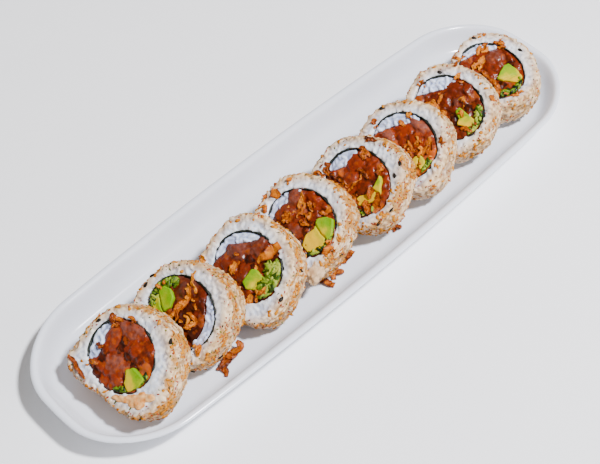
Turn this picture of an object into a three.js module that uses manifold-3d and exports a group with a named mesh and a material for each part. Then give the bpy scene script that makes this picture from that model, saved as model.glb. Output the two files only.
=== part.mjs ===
// Eight pieces of uramaki on a long white plate, in millimetres.
// +X runs along the plate, +Z is up, and the origin is under the middle of the plate.
import * as THREE from "three";
import { mergeVertices } from "three/addons/utils/BufferGeometryUtils.js";
import Module from "manifold-3d";

const wasm = await Module();
wasm.setup();

// Driving dimensions of the plate
const plate = {
  length: 320,
  width: 94,
  corner: 36,
  longBow: 5.4,
  shortBow: 4.6,
  rimHeight: 18,
  floorTop: 6,
  footInset: 17,
};

// Driving dimensions that all the pieces share
const piece = {
  radius: 24,
  thickness: 17.3,
  noriHalf: 0.4,
  gap: 0.3,
  edgeRound: 2.2,
  steps: 28,
};

// Each piece: place on the plate, lean of the cut face above the horizontal, yaw, out-of-round
// of its rice, then the nori loop, the tucked flap, and the fillings, in millimetres and degrees
const pieces = [
  {
    x: -125.6, y: -7.9, lean: 54, yaw: 1, oval: [1.7, 0.2], three: [0.4, -1.4], four: [-0.8, -0.4],
    loop: [-2.2, -0.3, 17.2, 15.8], flap: [147, 84, 6.3], covered: false,
    avocado: [8.6, -7, 4.1, 6.4, -10, 0.3], greens: [-62, 66, 1.8],
    threads: [
      ["rice", -23.5, -15, -11.5, -18, 0.6, 1.3], ["tuna", -13.8, -11.6, -9.6, -9.2, 0.4, 1.4],
      ["flap", -17, 10.6, -12.2, 8, 0.5, 1.7], ["flap", -15.5, -3.6, -11.8, -2.6, 0.4, 1.3],
      ["rice", -9.5, 17, -5, 16.6, 0.4, 1],
    ],
    stuck: [[13.6, -13.6, -0.9, 4.6, 2, 1.9, 35], [20.6, -8.2, -1, 4.8, 2, 1.9, 30]],
    bulge: [219, 13, 3.4],
  },
  {
    x: -93.2, y: -6.4, lean: 53, yaw: -1, oval: [0.7, 0.4], three: [-0.6, -0.7], four: [-0.6, 0],
    loop: [1, 0.5, 18.5, 15.3], flap: [68, -108, 5.6], covered: true,
    avocado: [-9.4, -0.6, 4.6, 5.4, 10, 0.1], greens: [138, 66, 3.6],
    threads: [
      ["tuna", -4.2, 16.2, 0.8, 11.2, -0.5, 1.1], ["tuna", -3.2, 11.8, 0.4, -3.4, 1.2, 1.2],
      ["tuna", 4, 1.6, 10.2, 2.6, 0.8, 1], ["tuna", 7.2, -2.4, 10.8, 0.4, -0.6, 1.1],
      ["rice", 17.6, -5, 21, -8, 0.5, 1.5],
    ],
    bulge: [180, 38, -1.7],
  },
  {
    x: -54.8, y: -9.3, lean: 55.5, yaw: -0.5, oval: [1.5, -1.2], three: [-0.1, -0.9], four: [-1, -0.2],
    loop: [0.3, 0, 18.3, 15.5], flap: [102, 108, 5.4], covered: true,
    avocado: [7.6, -3.2, 4.7, 4.6, -8, 0], greens: [-24, 66, 6],
    threads: [
      ["tuna", 6.4, 15, 5, 4.4, 0.4, 3], ["tuna", -6.5, -2.4, -2.6, -5.6, 0.6, 1.3],
      ["greens", 14.6, -3.6, 13.4, -7.4, 0.3, 1.2], ["rice", -22, -10.6, -18.8, -9.4, 0.4, 1.3],
    ],
    bulge: [180, 30, -1],
  },
  {
    x: -21.3, y: -8.7, lean: 56, yaw: -1.5, oval: [-0.2, -0.1], three: [-0.5, -0.4], four: [-0.6, -0.3],
    loop: [1.2, 0.8, 18.2, 15.5], flap: [132, 86, 5.2], covered: true,
    avocado: [12.4, 1, 4.8, 8.6, 8, -0.15], greens: [-36, 64, 1.8],
    threads: [
      ["tuna", -8, 11.6, -3.6, 4.4, 0.8, 1.3], ["tuna", -1, 4.2, 4.4, 3, 1, 1.1],
      ["tuna", 6.6, 14.2, 9, 10.8, 0.4, 1.6], ["tuna", -6.2, 0, -5.4, -3.2, 0.2, 2.4],
      ["rice", 20.6, 1, 20.8, -2.4, 0.2, 1.4], ["rice", -19.6, 4.2, -17.8, 2.2, 0.2, 2],
      ["rice", -20.2, -5, -16.6, -5, 0.6, 1],
    ],
    stuck: [[21.2, -12.7, -3.6, 3.6, 5, 3.2, -30]],
  },
  {
    x: 15, y: -10.2, lean: 52, yaw: -6, oval: [0.2, 1.1], three: [0, -0.5], four: [-0.2, -0.8],
    loop: [1.5, 0, 18.5, 15.5], flap: [136, 66, 7], covered: true,
    avocado: [12.6, 4.6, 2.6, 6.2, 32, 0], greens: [-48, 34, 2.2],
    threads: [
      ["tuna", -8.4, 13.4, -2.6, 12, 0.8, 1.7], ["tuna", 5.6, 12.8, 8.6, 10.4, 0.5, 1.4],
      ["tuna", 0.4, 5.6, 1.6, -5.4, 0.7, 1.1], ["tuna", 14.2, 2.6, 18.4, -4.4, 0.6, 2.2],
      ["tuna", -8.6, -4.6, -1.4, -3, 0.9, 1.4], ["flap", -18, -4.6, -13.4, -4.4, 0.6, 1.8],
      ["rice", -9.6, 18.4, -5, 20.8, 0.4, 1.1],
    ],
  },
  {
    x: 46.6, y: -10.4, lean: 54, yaw: -3, oval: [0.3, 0.3], three: [0.2, -0.5], four: [0.2, -0.7],
    loop: [1, 1, 18, 16], flap: [98, 102, 6], covered: true,
    avocado: [13, -0.4, 3.6, 3.2, -10, 0.2], greens: [-30, 40, 1.8],
    threads: [
      ["tuna", 9.6, 11.4, 13, 3.4, 0.8, 1.7], ["tuna", 1.2, 2, 8.6, 3.4, 0.6, 1.4],
      ["flap", -7.6, 13.6, -6.6, 15.4, 0.1, 1.6], ["rice", -20, 2.6, -18.6, 0.6, 0.1, 1.4],
      ["rice", 14.6, 15, 16.4, 13.2, 0.1, 1.3],
    ],
  },
  {
    x: 80.2, y: -10.4, lean: 57, yaw: 1.5, oval: [-0.3, -0.2], three: [0.1, 0.6], four: [0.1, -0.5],
    loop: [0.3, 1.5, 19.2, 15.5], flap: [112, 84, 7.4], covered: true,
    avocado: [11.8, 1.2, 5.6, 2.8, -14, 0.3], greens: [-18, 52, 2.6],
    threads: [
      ["tuna", 3.6, 14.8, 9.6, 12.8, 0.4, 0.8], ["tuna", -8.6, -1.6, -2.4, -1.4, 0.7, 1.5],
      ["tuna", -7, 4.4, -4.6, 0.8, 0.5, 1.1], ["rice", -19.8, 5.4, -19.4, 3.6, 0.1, 1.4],
      ["rice", -5.4, 18.6, -5, 17.9, 0.1, 1.1], ["rice", 15, 17.2, 17.6, 16.6, 0.3, 1.1],
    ],
  },
  {
    x: 120.4, y: -6.1, lean: 76, yaw: -10, oval: [-0.1, -0.5], three: [0.1, 1.2], four: [0.2, -0.1],
    loop: [0, 0.5, 19.3, 14.6], flap: [130, 78, 5], covered: true,
    avocado: [9.4, 5.2, 5.8, 3.9, -6, 0], greens: [-24, 52, 2.6],
    threads: [
      ["tuna", -11.2, 13, -6.6, 14, 0.5, 1.5], ["flap", -14.6, 9.4, -13, 3.4, 0.5, 1.7],
      ["tuna", -9.8, 3, -6.2, -4.2, 0.7, 1.5], ["tuna", -1, -3.6, 6.4, -3.4, 0.8, 1.4],
      ["rice", -17.8, -7, -16.4, -8.4, 0.1, 1.4], ["rice", 20.6, 0.4, 20.8, -1.6, 0.1, 1.1],
    ],
  },
];

// Named looks
const material = (name, color, roughness = 0.6) =>
  new THREE.MeshStandardMaterial({ name, color, roughness });
const looks = {
  porcelain: material("porcelain", 0xf2f4f8, 0.15),
  rice: material("rice", 0xf1e9dc),
  nori: material("nori", 0x161c18),
  innerRice: material("inner_rice", 0xdfe4ea),
  tuna: material("tuna", 0x94422c, 0.4),
  avocado: material("avocado", 0xc4cf3e, 0.45),
  greens: material("greens", 0x5d8a2c),
  onion: material("fried_onion", 0xc4671f),
};

// Small tools for solids
const rad = Math.PI / 180;

function seeded(seed) {
  let state = seed * 2654435761 >>> 0;
  return () => {
    state = (state + 0x6d2b79f5) >>> 0;
    let t = state;
    t = Math.imul(t ^ (t >>> 15), t | 1);
    t ^= t + Math.imul(t ^ (t >>> 7), t | 61);
    return ((t ^ (t >>> 14)) >>> 0) / 4294967296;
  };
}

function toSolid(geometry) {
  const plain = geometry.clone();
  plain.deleteAttribute("normal");
  plain.deleteAttribute("uv");
  const merged = mergeVertices(plain, 1e-4);
  return new wasm.Manifold(new wasm.Mesh({
    numProp: 3,
    vertProperties: new Float32Array(merged.attributes.position.array),
    triVerts: new Uint32Array(merged.index.array),
  }));
}

function toGeometry(solid) {
  const mesh = solid.getMesh();
  const geometry = new THREE.BufferGeometry();
  geometry.setAttribute("position", new THREE.BufferAttribute(new Float32Array(mesh.vertProperties), 3));
  geometry.setIndex(new THREE.BufferAttribute(new Uint32Array(mesh.triVerts), 1));
  return geometry;
}

// The largest separate body of a solid, so that no cut leaves a scrap
function mainBody(solid) {
  const bodies = solid.decompose();
  let best = bodies[0];
  for (const body of bodies) {
    if (body.volume() > best.volume()) {
      best = body;
    }
  }
  return best;
}

function prism(points, low, high) {
  const shape = new THREE.Shape(points.map(([x, y]) => new THREE.Vector2(x, y)));
  const geometry = new THREE.ExtrudeGeometry(shape, { depth: high - low, bevelEnabled: false });
  geometry.translate(0, 0, low);
  return toSolid(geometry);
}

// A solid between closed rings of equally many points, shut by flat caps
function loft(rings) {
  const count = rings[0].length;
  const position = rings.flat(2);
  const index = [];
  for (let level = 0; level + 1 < rings.length; level += 1) {
    for (let i = 0; i < count; i += 1) {
      const a = level * count + i;
      const b = level * count + (i + 1) % count;
      index.push(a, b, b + count, a, b + count, a + count);
    }
  }
  const cap = (level, flip) => {
    const contour = rings[level].map(([x, y]) => new THREE.Vector2(x, y));
    for (const [a, b, c] of THREE.ShapeUtils.triangulateShape(contour, [])) {
      const base = level * count;
      index.push(base + a, base + (flip ? c : b), base + (flip ? b : c));
    }
  };
  cap(0, true);
  cap(rings.length - 1, false);
  const geometry = new THREE.BufferGeometry();
  geometry.setAttribute("position", new THREE.Float32BufferAttribute(position, 3));
  geometry.setIndex(index);
  return toSolid(geometry);
}

// Plate: one rounded outline, drawn in at its corners, lofted from the foot over the rim to the floor
function plateOutline(inset, z) {
  const ring = [];
  const halfL = plate.length / 2;
  const halfW = plate.width / 2;
  const r = Math.max(plate.corner - inset, 3);
  const cx = halfL - inset - r;
  const cy = halfW - inset - r;
  const bend = (x, y) => [
    x * (1 - plate.shortBow / halfL * (y / halfW) ** 2),
    y * (1 - plate.longBow / halfW * (x / halfL) ** 2),
    z,
  ];
  const arcSteps = 6;
  const longSteps = 6;
  const shortSteps = 2;
  const corners = [[1, 1, 0], [-1, 1, 90], [-1, -1, 180], [1, -1, 270]];
  corners.forEach(([sx, sy, start], n) => {
    for (let i = 0; i <= arcSteps; i += 1) {
      const a = (start + 90 * i / arcSteps) * rad;
      ring.push(bend(sx * cx + r * Math.cos(a), sy * cy + r * Math.sin(a)));
    }
    const next = corners[(n + 1) % 4];
    const a = (start + 90) * rad;
    const from = [sx * cx + r * Math.cos(a), sy * cy + r * Math.sin(a)];
    const to = [next[0] * cx + r * Math.cos(a), next[1] * cy + r * Math.sin(a)];
    const steps = n % 2 === 0 ? longSteps : shortSteps;
    for (let i = 1; i < steps; i += 1) {
      const t = i / steps;
      ring.push(bend(from[0] + (to[0] - from[0]) * t, from[1] + (to[1] - from[1]) * t));
    }
  });
  return ring;
}

function makePlate() {
  const foot = plate.footInset;
  const top = plate.rimHeight;
  const base = plate.floorTop;
  const profile = [
    [foot + 4.2, 1.6], [foot + 3.2, 0], [foot, 0], [foot - 2.4, 1.8],
    [foot - 8, 5], [4.6, 11], [1, top - 2.6], [0, top - 1], [1.4, top],
    [3, top - 0.2], [4.4, top - 1.6], [6.6, 11.6], [8.8, base + 2.4], [11, base + 0.7], [14, base],
  ];
  return loft(profile.map(([inset, z]) => plateOutline(inset, z)));
}

// Rice outline of a piece at an angle, out of round as it was pressed; a bulge or a dent is given
// by its angle, its width in degrees and its height
function riceRadius(p, a) {
  const [at, wide, rise] = p.bulge ?? [0, 1, 0];
  const away = ((a / rad - at + 540) % 360 + 360) % 360 - 180;
  return piece.radius + rise * Math.exp(-((away / wide) ** 2))
    + p.oval[0] * Math.cos(2 * a) + p.oval[1] * Math.sin(2 * a)
    + p.three[0] * Math.cos(3 * a) + p.three[1] * Math.sin(3 * a)
    + p.four[0] * Math.cos(4 * a) + p.four[1] * Math.sin(4 * a);
}

function loopPoint(p, degrees, inward = 0) {
  const [cx, cy, rx, ry] = p.loop;
  const a = degrees * rad;
  const r = rx * ry / Math.hypot(ry * Math.cos(a), rx * Math.sin(a)) - inward;
  return [cx + r * Math.cos(a), cy + r * Math.sin(a)];
}

// Centre line of the nori: it starts inside the tucked flap of rice, then goes round once and over it
function noriPath(p) {
  const [start, span, depth] = p.flap;
  const turn = Math.sign(span);
  const inner = [];
  const wallSteps = 7;
  for (let i = 0; i < wallSteps; i += 1) {
    const v = i / wallSteps;
    const lift = Math.max(1.5 * (1 - v ** 6), depth * Math.sin(Math.PI * Math.min(v * 0.94 + 0.06, 1)) ** 0.7);
    inner.push(loopPoint(p, start + span * v, lift * (v > 0.86 ? (1 - v) / 0.14 : 1)));
  }
  const around = [];
  const loopSteps = 16;
  const rest = 360 - Math.abs(span);
  for (let i = 0; i <= loopSteps; i += 1) {
    around.push(loopPoint(p, start + span + turn * rest * i / loopSteps));
  }
  const outer = [];
  const overSteps = 5;
  for (let i = 1; i <= overSteps; i += 1) {
    outer.push(loopPoint(p, start + span * 0.82 * i / overSteps));
  }
  const tail = [0.89, 0.95].map((v) => loopPoint(p, start + span * v, 0.4));
  return { inner, around, outer, tail };
}

// Band of even width along an open line
function band(line, half) {
  const left = [];
  const right = [];
  line.forEach(([x, y], i) => {
    const before = line[Math.max(i - 1, 0)];
    const after = line[Math.min(i + 1, line.length - 1)];
    const dx = after[0] - before[0];
    const dy = after[1] - before[1];
    const size = Math.hypot(dx, dy);
    left.push([x - dy / size * half, y + dx / size * half]);
    right.push([x + dy / size * half, y - dx / size * half]);
  });
  return left.concat(right.reverse());
}

function wedge(p, grow) {
  const [cx, cy, w, h, turn, taper] = p.avocado;
  const points = [];
  const steps = 12;
  for (let i = 0; i < steps; i += 1) {
    const a = 2 * Math.PI * i / steps;
    const soft = (v) => Math.sign(v) * Math.abs(v) ** 0.65;
    const y = (h + grow) * soft(Math.sin(a));
    const x = (w + grow) * soft(Math.cos(a)) * (1 + taper * y / h);
    points.push([
      cx + x * Math.cos(turn * rad) - y * Math.sin(turn * rad),
      cy + x * Math.sin(turn * rad) + y * Math.cos(turn * rad),
    ]);
  }
  return points;
}

function sector(p, grow) {
  const [start, span, thick] = p.greens;
  const points = [];
  const steps = 6;
  const spread = grow / 16 / rad;
  for (let i = 0; i <= steps; i += 1) {
    points.push(loopPoint(p, start - spread + (span + 2 * spread) * i / steps, -1));
  }
  for (let i = steps; i >= 0; i -= 1) {
    const ripple = i % 2 === 0 ? 0.5 : 0;
    points.push(loopPoint(p, start - spread + (span + 2 * spread) * i / steps, thick + 0.7 + grow - ripple));
  }
  return points;
}

// A lump: a low icosahedron pulled to three half sizes and turned
function lump(x, y, z, a, b, c, turn, tilt = 0) {
  const geometry = new THREE.IcosahedronGeometry(1, 0);
  geometry.scale(a, b, c);
  geometry.rotateY(tilt * rad);
  geometry.rotateZ(turn * rad);
  geometry.translate(x, y, z);
  return toSolid(geometry);
}

// A fried onion thread or flake lying on the cut face, held by a root under its middle
function thread([, x0, y0, x1, y1, bend, width], mask) {
  const sections = 3;
  const dx = x1 - x0;
  const dy = y1 - y0;
  const size = Math.hypot(dx, dy);
  const across = [-dy / size, dx / size];
  const rings = [];
  for (let i = 0; i <= sections; i += 1) {
    const t = i / sections;
    const swell = 0.55 + 0.45 * Math.sin(Math.PI * t);
    const sway = bend * Math.sin(Math.PI * t * 1.6);
    const x = x0 + dx * t + across[0] * sway;
    const y = y0 + dy * t + across[1] * sway;
    const z = 1.2 + 0.5 * Math.sin(Math.PI * t);
    const half = width / 2 * swell;
    const ring = [];
    for (let k = 0; k < 4; k += 1) {
      const a = Math.PI / 2 * k + Math.PI / 4;
      const u = half * Math.cos(a) * 1.3;
      const w = Math.min(half, 0.7) * Math.sin(a);
      ring.push([x + across[0] * u, y + across[1] * u, z + w]);
    }
    rings.push(ring);
  }
  const root = new THREE.CylinderGeometry(0.5, 0.6, 2.6, 3);
  root.rotateX(Math.PI / 2);
  const near = rings[1].concat(rings[2]);
  root.translate(near.reduce((sum, v) => sum + v[0] / 8, 0), near.reduce((sum, v) => sum + v[1] / 8, 0), 0.2);
  return strip(rings).add(toSolid(root).intersect(mask));
}

// A closed strip through small rings, capped at both ends
function strip(rings) {
  const count = rings[0].length;
  const position = rings.flat(2);
  const index = [];
  for (let level = 0; level + 1 < rings.length; level += 1) {
    for (let i = 0; i < count; i += 1) {
      const a = level * count + i;
      const b = level * count + (i + 1) % count;
      index.push(a, b, b + count, a, b + count, a + count);
    }
  }
  const last = (rings.length - 1) * count;
  for (let i = 1; i + 1 < count; i += 1) {
    index.push(0, i + 1, i, last, last + i, last + i + 1);
  }
  const geometry = new THREE.BufferGeometry();
  geometry.setAttribute("position", new THREE.Float32BufferAttribute(position, 3));
  geometry.setIndex(index);
  const solid = toSolid(geometry);
  if (solid.volume() > 0) {
    return solid;
  }
  const flipped = geometry.clone();
  const turned = [];
  for (let i = 0; i < index.length; i += 3) {
    turned.push(index[i], index[i + 2], index[i + 1]);
  }
  flipped.setIndex(turned);
  return toSolid(flipped);
}

// Outer rice: a pressed disc with round edges, uneven sides and grain-sized bumps
function riceDisc(p, number) {
  const random = seeded(number + 11);
  const t = piece.thickness;
  const levels = [[-t, piece.edgeRound], [-t + 1.3, 0.2], [-t * 0.5, -0.3], [-1.3, 0.2], [0, piece.edgeRound]];
  const rings = levels.map(([z, inset]) => {
    const ring = [];
    for (let i = 0; i < piece.steps; i += 1) {
      const a = 2 * Math.PI * i / piece.steps;
      const rough = inset > 2 ? 0.2 : 0.55;
      const r = riceRadius(p, a) - inset + (random() - 0.6) * rough;
      ring.push([r * Math.cos(a), r * Math.sin(a), z]);
    }
    return ring;
  });
  let disc = loft(rings);
  const sideGrains = 3;
  for (let i = 0; i < sideGrains; i += 1) {
    const a = (-62 + 250 * (i + random() * 0.6) / sideGrains) * rad;
    const r = riceRadius(p, a) - 1;
    const z = -t * (0.2 + 0.6 * random());
    disc = disc.add(lump(r * Math.cos(a), r * Math.sin(a), z, 1.5, 2.6, 1.5, a / rad, 60 * random()));
  }
  return disc;
}

function buildPiece(p, number) {
  const t = piece.thickness;
  const clear = piece.noriHalf + piece.gap;
  const random = seeded(number + 40);
  const { inner, around, outer, tail } = noriPath(p);
  const whole = inner.concat(around, outer);
  const firstTurn = inner.concat(around);
  const outerTurn = around.concat(outer);
  const flapLine = [around[around.length - 1]].concat(outer, tail, inner.slice().reverse());

  const noriGrown = prism(band(whole, clear), -t - 1, 5);
  const insideLoop = prism(outerTurn, -t - 1, 5);
  const nori = prism(band(whole, piece.noriHalf), -t + 0.2, 0.15);

  let rice = riceDisc(p, number).subtract(insideLoop).subtract(noriGrown);
  rice = mainBody(rice);

  const flapMask = mainBody(prism(flapLine, -t + 0.3, 5).subtract(noriGrown));
  const fillMask = mainBody(prism(firstTurn, -t + 0.3, 5).subtract(noriGrown));

  // Fillings, each cut clear of the next
  const avocado = mainBody(prism(wedge(p, 0), -t + 0.3, 0.7).intersect(fillMask));
  const avocadoGrown = prism(wedge(p, piece.gap), -t - 1, 5);
  const greens = mainBody(prism(sector(p, 0), -t + 0.3, -0.2).intersect(fillMask).subtract(avocadoGrown));
  const greensGrown = prism(sector(p, piece.gap), -t - 1, 5);
  const tunaMask = mainBody(fillMask.subtract(avocadoGrown).subtract(greensGrown));

  const layer = (mask, low, top) => mask.trimByPlane([0, 0, -1], -top).trimByPlane([0, 0, 1], low);
  let tuna = layer(tunaMask, -t + 0.3, 0);
  const bottom = p.covered ? -3 : -12;
  for (let i = 0; i < 3; i += 1) {
    const x = p.loop[0] - 7 + 5.5 * i * (0.8 + 0.4 * random()) - (p.avocado[0] > 0 ? 1 : -3);
    const y = bottom + 2 + (9 - bottom) * random();
    tuna = tuna.add(lump(x, y, -0.9, 3.4, 2.5, 2, 180 * random()).intersect(tunaMask));
  }
  tuna = mainBody(tuna);

  let flap = layer(flapMask, -t + 0.3, -0.1);
  const middle = p.flap[0] + p.flap[1] * 0.4;
  for (const step of [-12]) {
    const [x, y] = loopPoint(p, middle + step * 1.2, p.flap[2] * 0.52);
    if (!p.covered || y > -3) {
      flap = flap.add(lump(x, y, -0.6, 2.2, 1.3, 1.3, middle + step * 3 + 90).intersect(flapMask));
    }
  }
  flap = mainBody(flap);

  // Grains on the cut face of the outer rice, where the next piece doesn't lie on it
  const face = p.covered ? [8, 164] : [-50, 270];
  const faceGrains = 4;
  for (let i = 0; i < faceGrains; i += 1) {
    const a = face[0] + (face[1] - face[0]) * (i + 0.5) / faceGrains;
    const [lx, ly] = loopPoint(p, a, 0);
    const r = (Math.hypot(lx, ly) + riceRadius(p, a * rad)) / 2 - 0.2;
    const g = lump(r * Math.cos(a * rad), r * Math.sin(a * rad), -0.9, 2.4, 1.2, 1.5, a + 60 + 60 * random());
    rice = rice.add(g.subtract(insideLoop).subtract(noriGrown));
  }
  // Sauce and squeezed-out rice that cling to the cut face or its edge
  for (const [x, y, z, a, b, c, turn] of p.stuck ?? []) {
    rice = rice.add(lump(x, y, z, a, b, c, turn).subtract(insideLoop).subtract(noriGrown));
  }
  const onto = { rice, tuna, flap, greens };
  const own = {
    rice: prism(around.map(([x, y]) => [x * 3, y * 3]), -t, 5).subtract(insideLoop).subtract(noriGrown),
    tuna: tunaMask,
    flap: flapMask,
    greens: greens.translate([0, 0, 1]).intersect(fillMask),
  };
  for (const item of p.threads) {
    onto[item[0]] = onto[item[0]].add(thread(item, own[item[0]]));
  }
  return {
    rice_outer: [mainBody(onto.rice), looks.rice],
    nori: [nori, looks.nori],
    rice_flap: [mainBody(onto.flap), looks.innerRice],
    tuna: [mainBody(onto.tuna), looks.tuna],
    avocado: [avocado, looks.avocado],
    greens: [mainBody(onto.greens), looks.greens],
  };
}

// Local axes of a piece: across its cut face, up its cut face, and out of its cut face
function placement(p) {
  const lean = p.lean * rad;
  const yaw = p.yaw * rad;
  const across = new THREE.Vector3(Math.sin(yaw), -Math.cos(yaw), 0);
  const up = new THREE.Vector3(Math.sin(lean) * Math.cos(yaw), Math.sin(lean) * Math.sin(yaw), Math.cos(lean));
  const out = new THREE.Vector3(-Math.cos(lean) * Math.cos(yaw), -Math.cos(lean) * Math.sin(yaw), Math.sin(lean));
  const matrix = new THREE.Matrix4().makeBasis(across, up, out);
  return matrix;
}

const group = new THREE.Group();
group.name = "uramaki_on_plate";

function addNode(name, solid, look) {
  const mesh = new THREE.Mesh(toGeometry(solid), look);
  mesh.name = name;
  group.add(mesh);
}

addNode("plate", makePlate(), looks.porcelain);

pieces.forEach((p, i) => {
  const number = i + 1;
  const matrix = placement(p);
  const parts = buildPiece(p, number);
  const turned = {};
  let low = Infinity;
  for (const [name, [solid, look]] of Object.entries(parts)) {
    const geometry = toGeometry(solid);
    geometry.applyMatrix4(matrix);
    geometry.computeBoundingBox();
    low = Math.min(low, geometry.boundingBox.min.z);
    turned[name] = [geometry, look];
  }
  for (const [name, [geometry, look]] of Object.entries(turned)) {
    geometry.translate(p.x, p.y, plate.floorTop + piece.gap - low);
    const mesh = new THREE.Mesh(geometry, look);
    mesh.name = `roll_${number}_${name}`;
    group.add(mesh);
  }
});

// Fried onion that has dropped beside the pieces: short crossed strips lying on the plate
function looseOnion(x, y, turn, strips, length, seed) {
  const random = seeded(seed);
  let solid = null;
  for (let i = 0; i < strips; i += 1) {
    const a = (turn + 140 * (i / strips) * (random() > 0.5 ? 1 : -1)) * rad;
    const half = length / 2 * (0.7 + 0.5 * random());
    const rings = [];
    for (let k = 0; k <= 3; k += 1) {
      const s = (k / 3 - 0.5) * 2;
      const sway = 1.4 * Math.sin(2.4 * s + i);
      const cx = half * s * Math.cos(a) - sway * Math.sin(a);
      const cy = half * s * Math.sin(a) + sway * Math.cos(a);
      const z = 1.1 + 0.8 * i + 0.6 * (1 - s * s) - 0.5 * Math.abs(s) * i;
      const wide = 0.9 * (1 - 0.45 * Math.abs(s));
      rings.push([[-1, -1], [1, -1], [1, 1], [-1, 1]].map(([u, w]) => [
        cx - u * wide * Math.sin(a),
        cy + u * wide * Math.cos(a),
        z + w * 0.55,
      ]));
    }
    const one = strip(rings);
    solid = solid ? solid.add(one) : one;
  }
  const body = toGeometry(mainBody(solid));
  body.computeBoundingBox();
  body.translate(x, y, plate.floorTop + piece.gap - body.boundingBox.min.z);
  return body;
}

const dropped = [
  ["loose_onion_1", -85, -28.4, 45, 3, 11],
  ["loose_onion_2", -5, -26.4, 20, 2, 7],
  ["loose_onion_3", -23.4, -29.8, -58, 2, 6],
  ["loose_onion_4", 24.6, -30.6, 20, 2, 5],
  ["loose_onion_5", -15.6, -29.4, 14, 2, 6],
];
dropped.forEach(([name, x, y, turn, strips, length], i) => {
  const mesh = new THREE.Mesh(looseOnion(x, y, turn, strips, length, 70 + i), looks.onion);
  mesh.name = name;
  group.add(mesh);
});

export default group;
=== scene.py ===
# %% [markdown]
# # Eight pieces of uramaki on a long plate
# An uramaki is an inside-out roll: rice outside, a sheet of nori inside it, and the filling in the
# middle. It is cut into discs, and here eight of them lean on each other like toppled dominoes.
# The CAD frame holds every solid at its real size. This script dresses it: each layer gets the
# surface that food has, and nothing is moved away from its solid.

# %% Load the frame
import math
import bpy
import bmesh
import numpy as np
from mathutils import Matrix, Vector, noise
from mathutils.geometry import tessellate_polygon
from mathutils.bvhtree import BVHTree
from mathutils.kdtree import KDTree


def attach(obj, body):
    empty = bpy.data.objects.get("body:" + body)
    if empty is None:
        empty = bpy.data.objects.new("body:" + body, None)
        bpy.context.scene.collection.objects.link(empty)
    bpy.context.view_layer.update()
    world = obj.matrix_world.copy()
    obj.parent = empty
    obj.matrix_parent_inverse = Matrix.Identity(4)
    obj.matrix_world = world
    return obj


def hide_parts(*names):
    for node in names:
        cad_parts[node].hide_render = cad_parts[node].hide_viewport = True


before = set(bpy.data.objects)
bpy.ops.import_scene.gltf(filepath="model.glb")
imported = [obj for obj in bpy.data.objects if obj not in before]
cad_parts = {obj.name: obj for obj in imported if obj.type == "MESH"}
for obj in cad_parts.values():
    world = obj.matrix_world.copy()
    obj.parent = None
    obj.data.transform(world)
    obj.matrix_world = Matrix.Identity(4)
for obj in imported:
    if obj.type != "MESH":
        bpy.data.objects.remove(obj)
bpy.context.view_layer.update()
MM = 0.001
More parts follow.
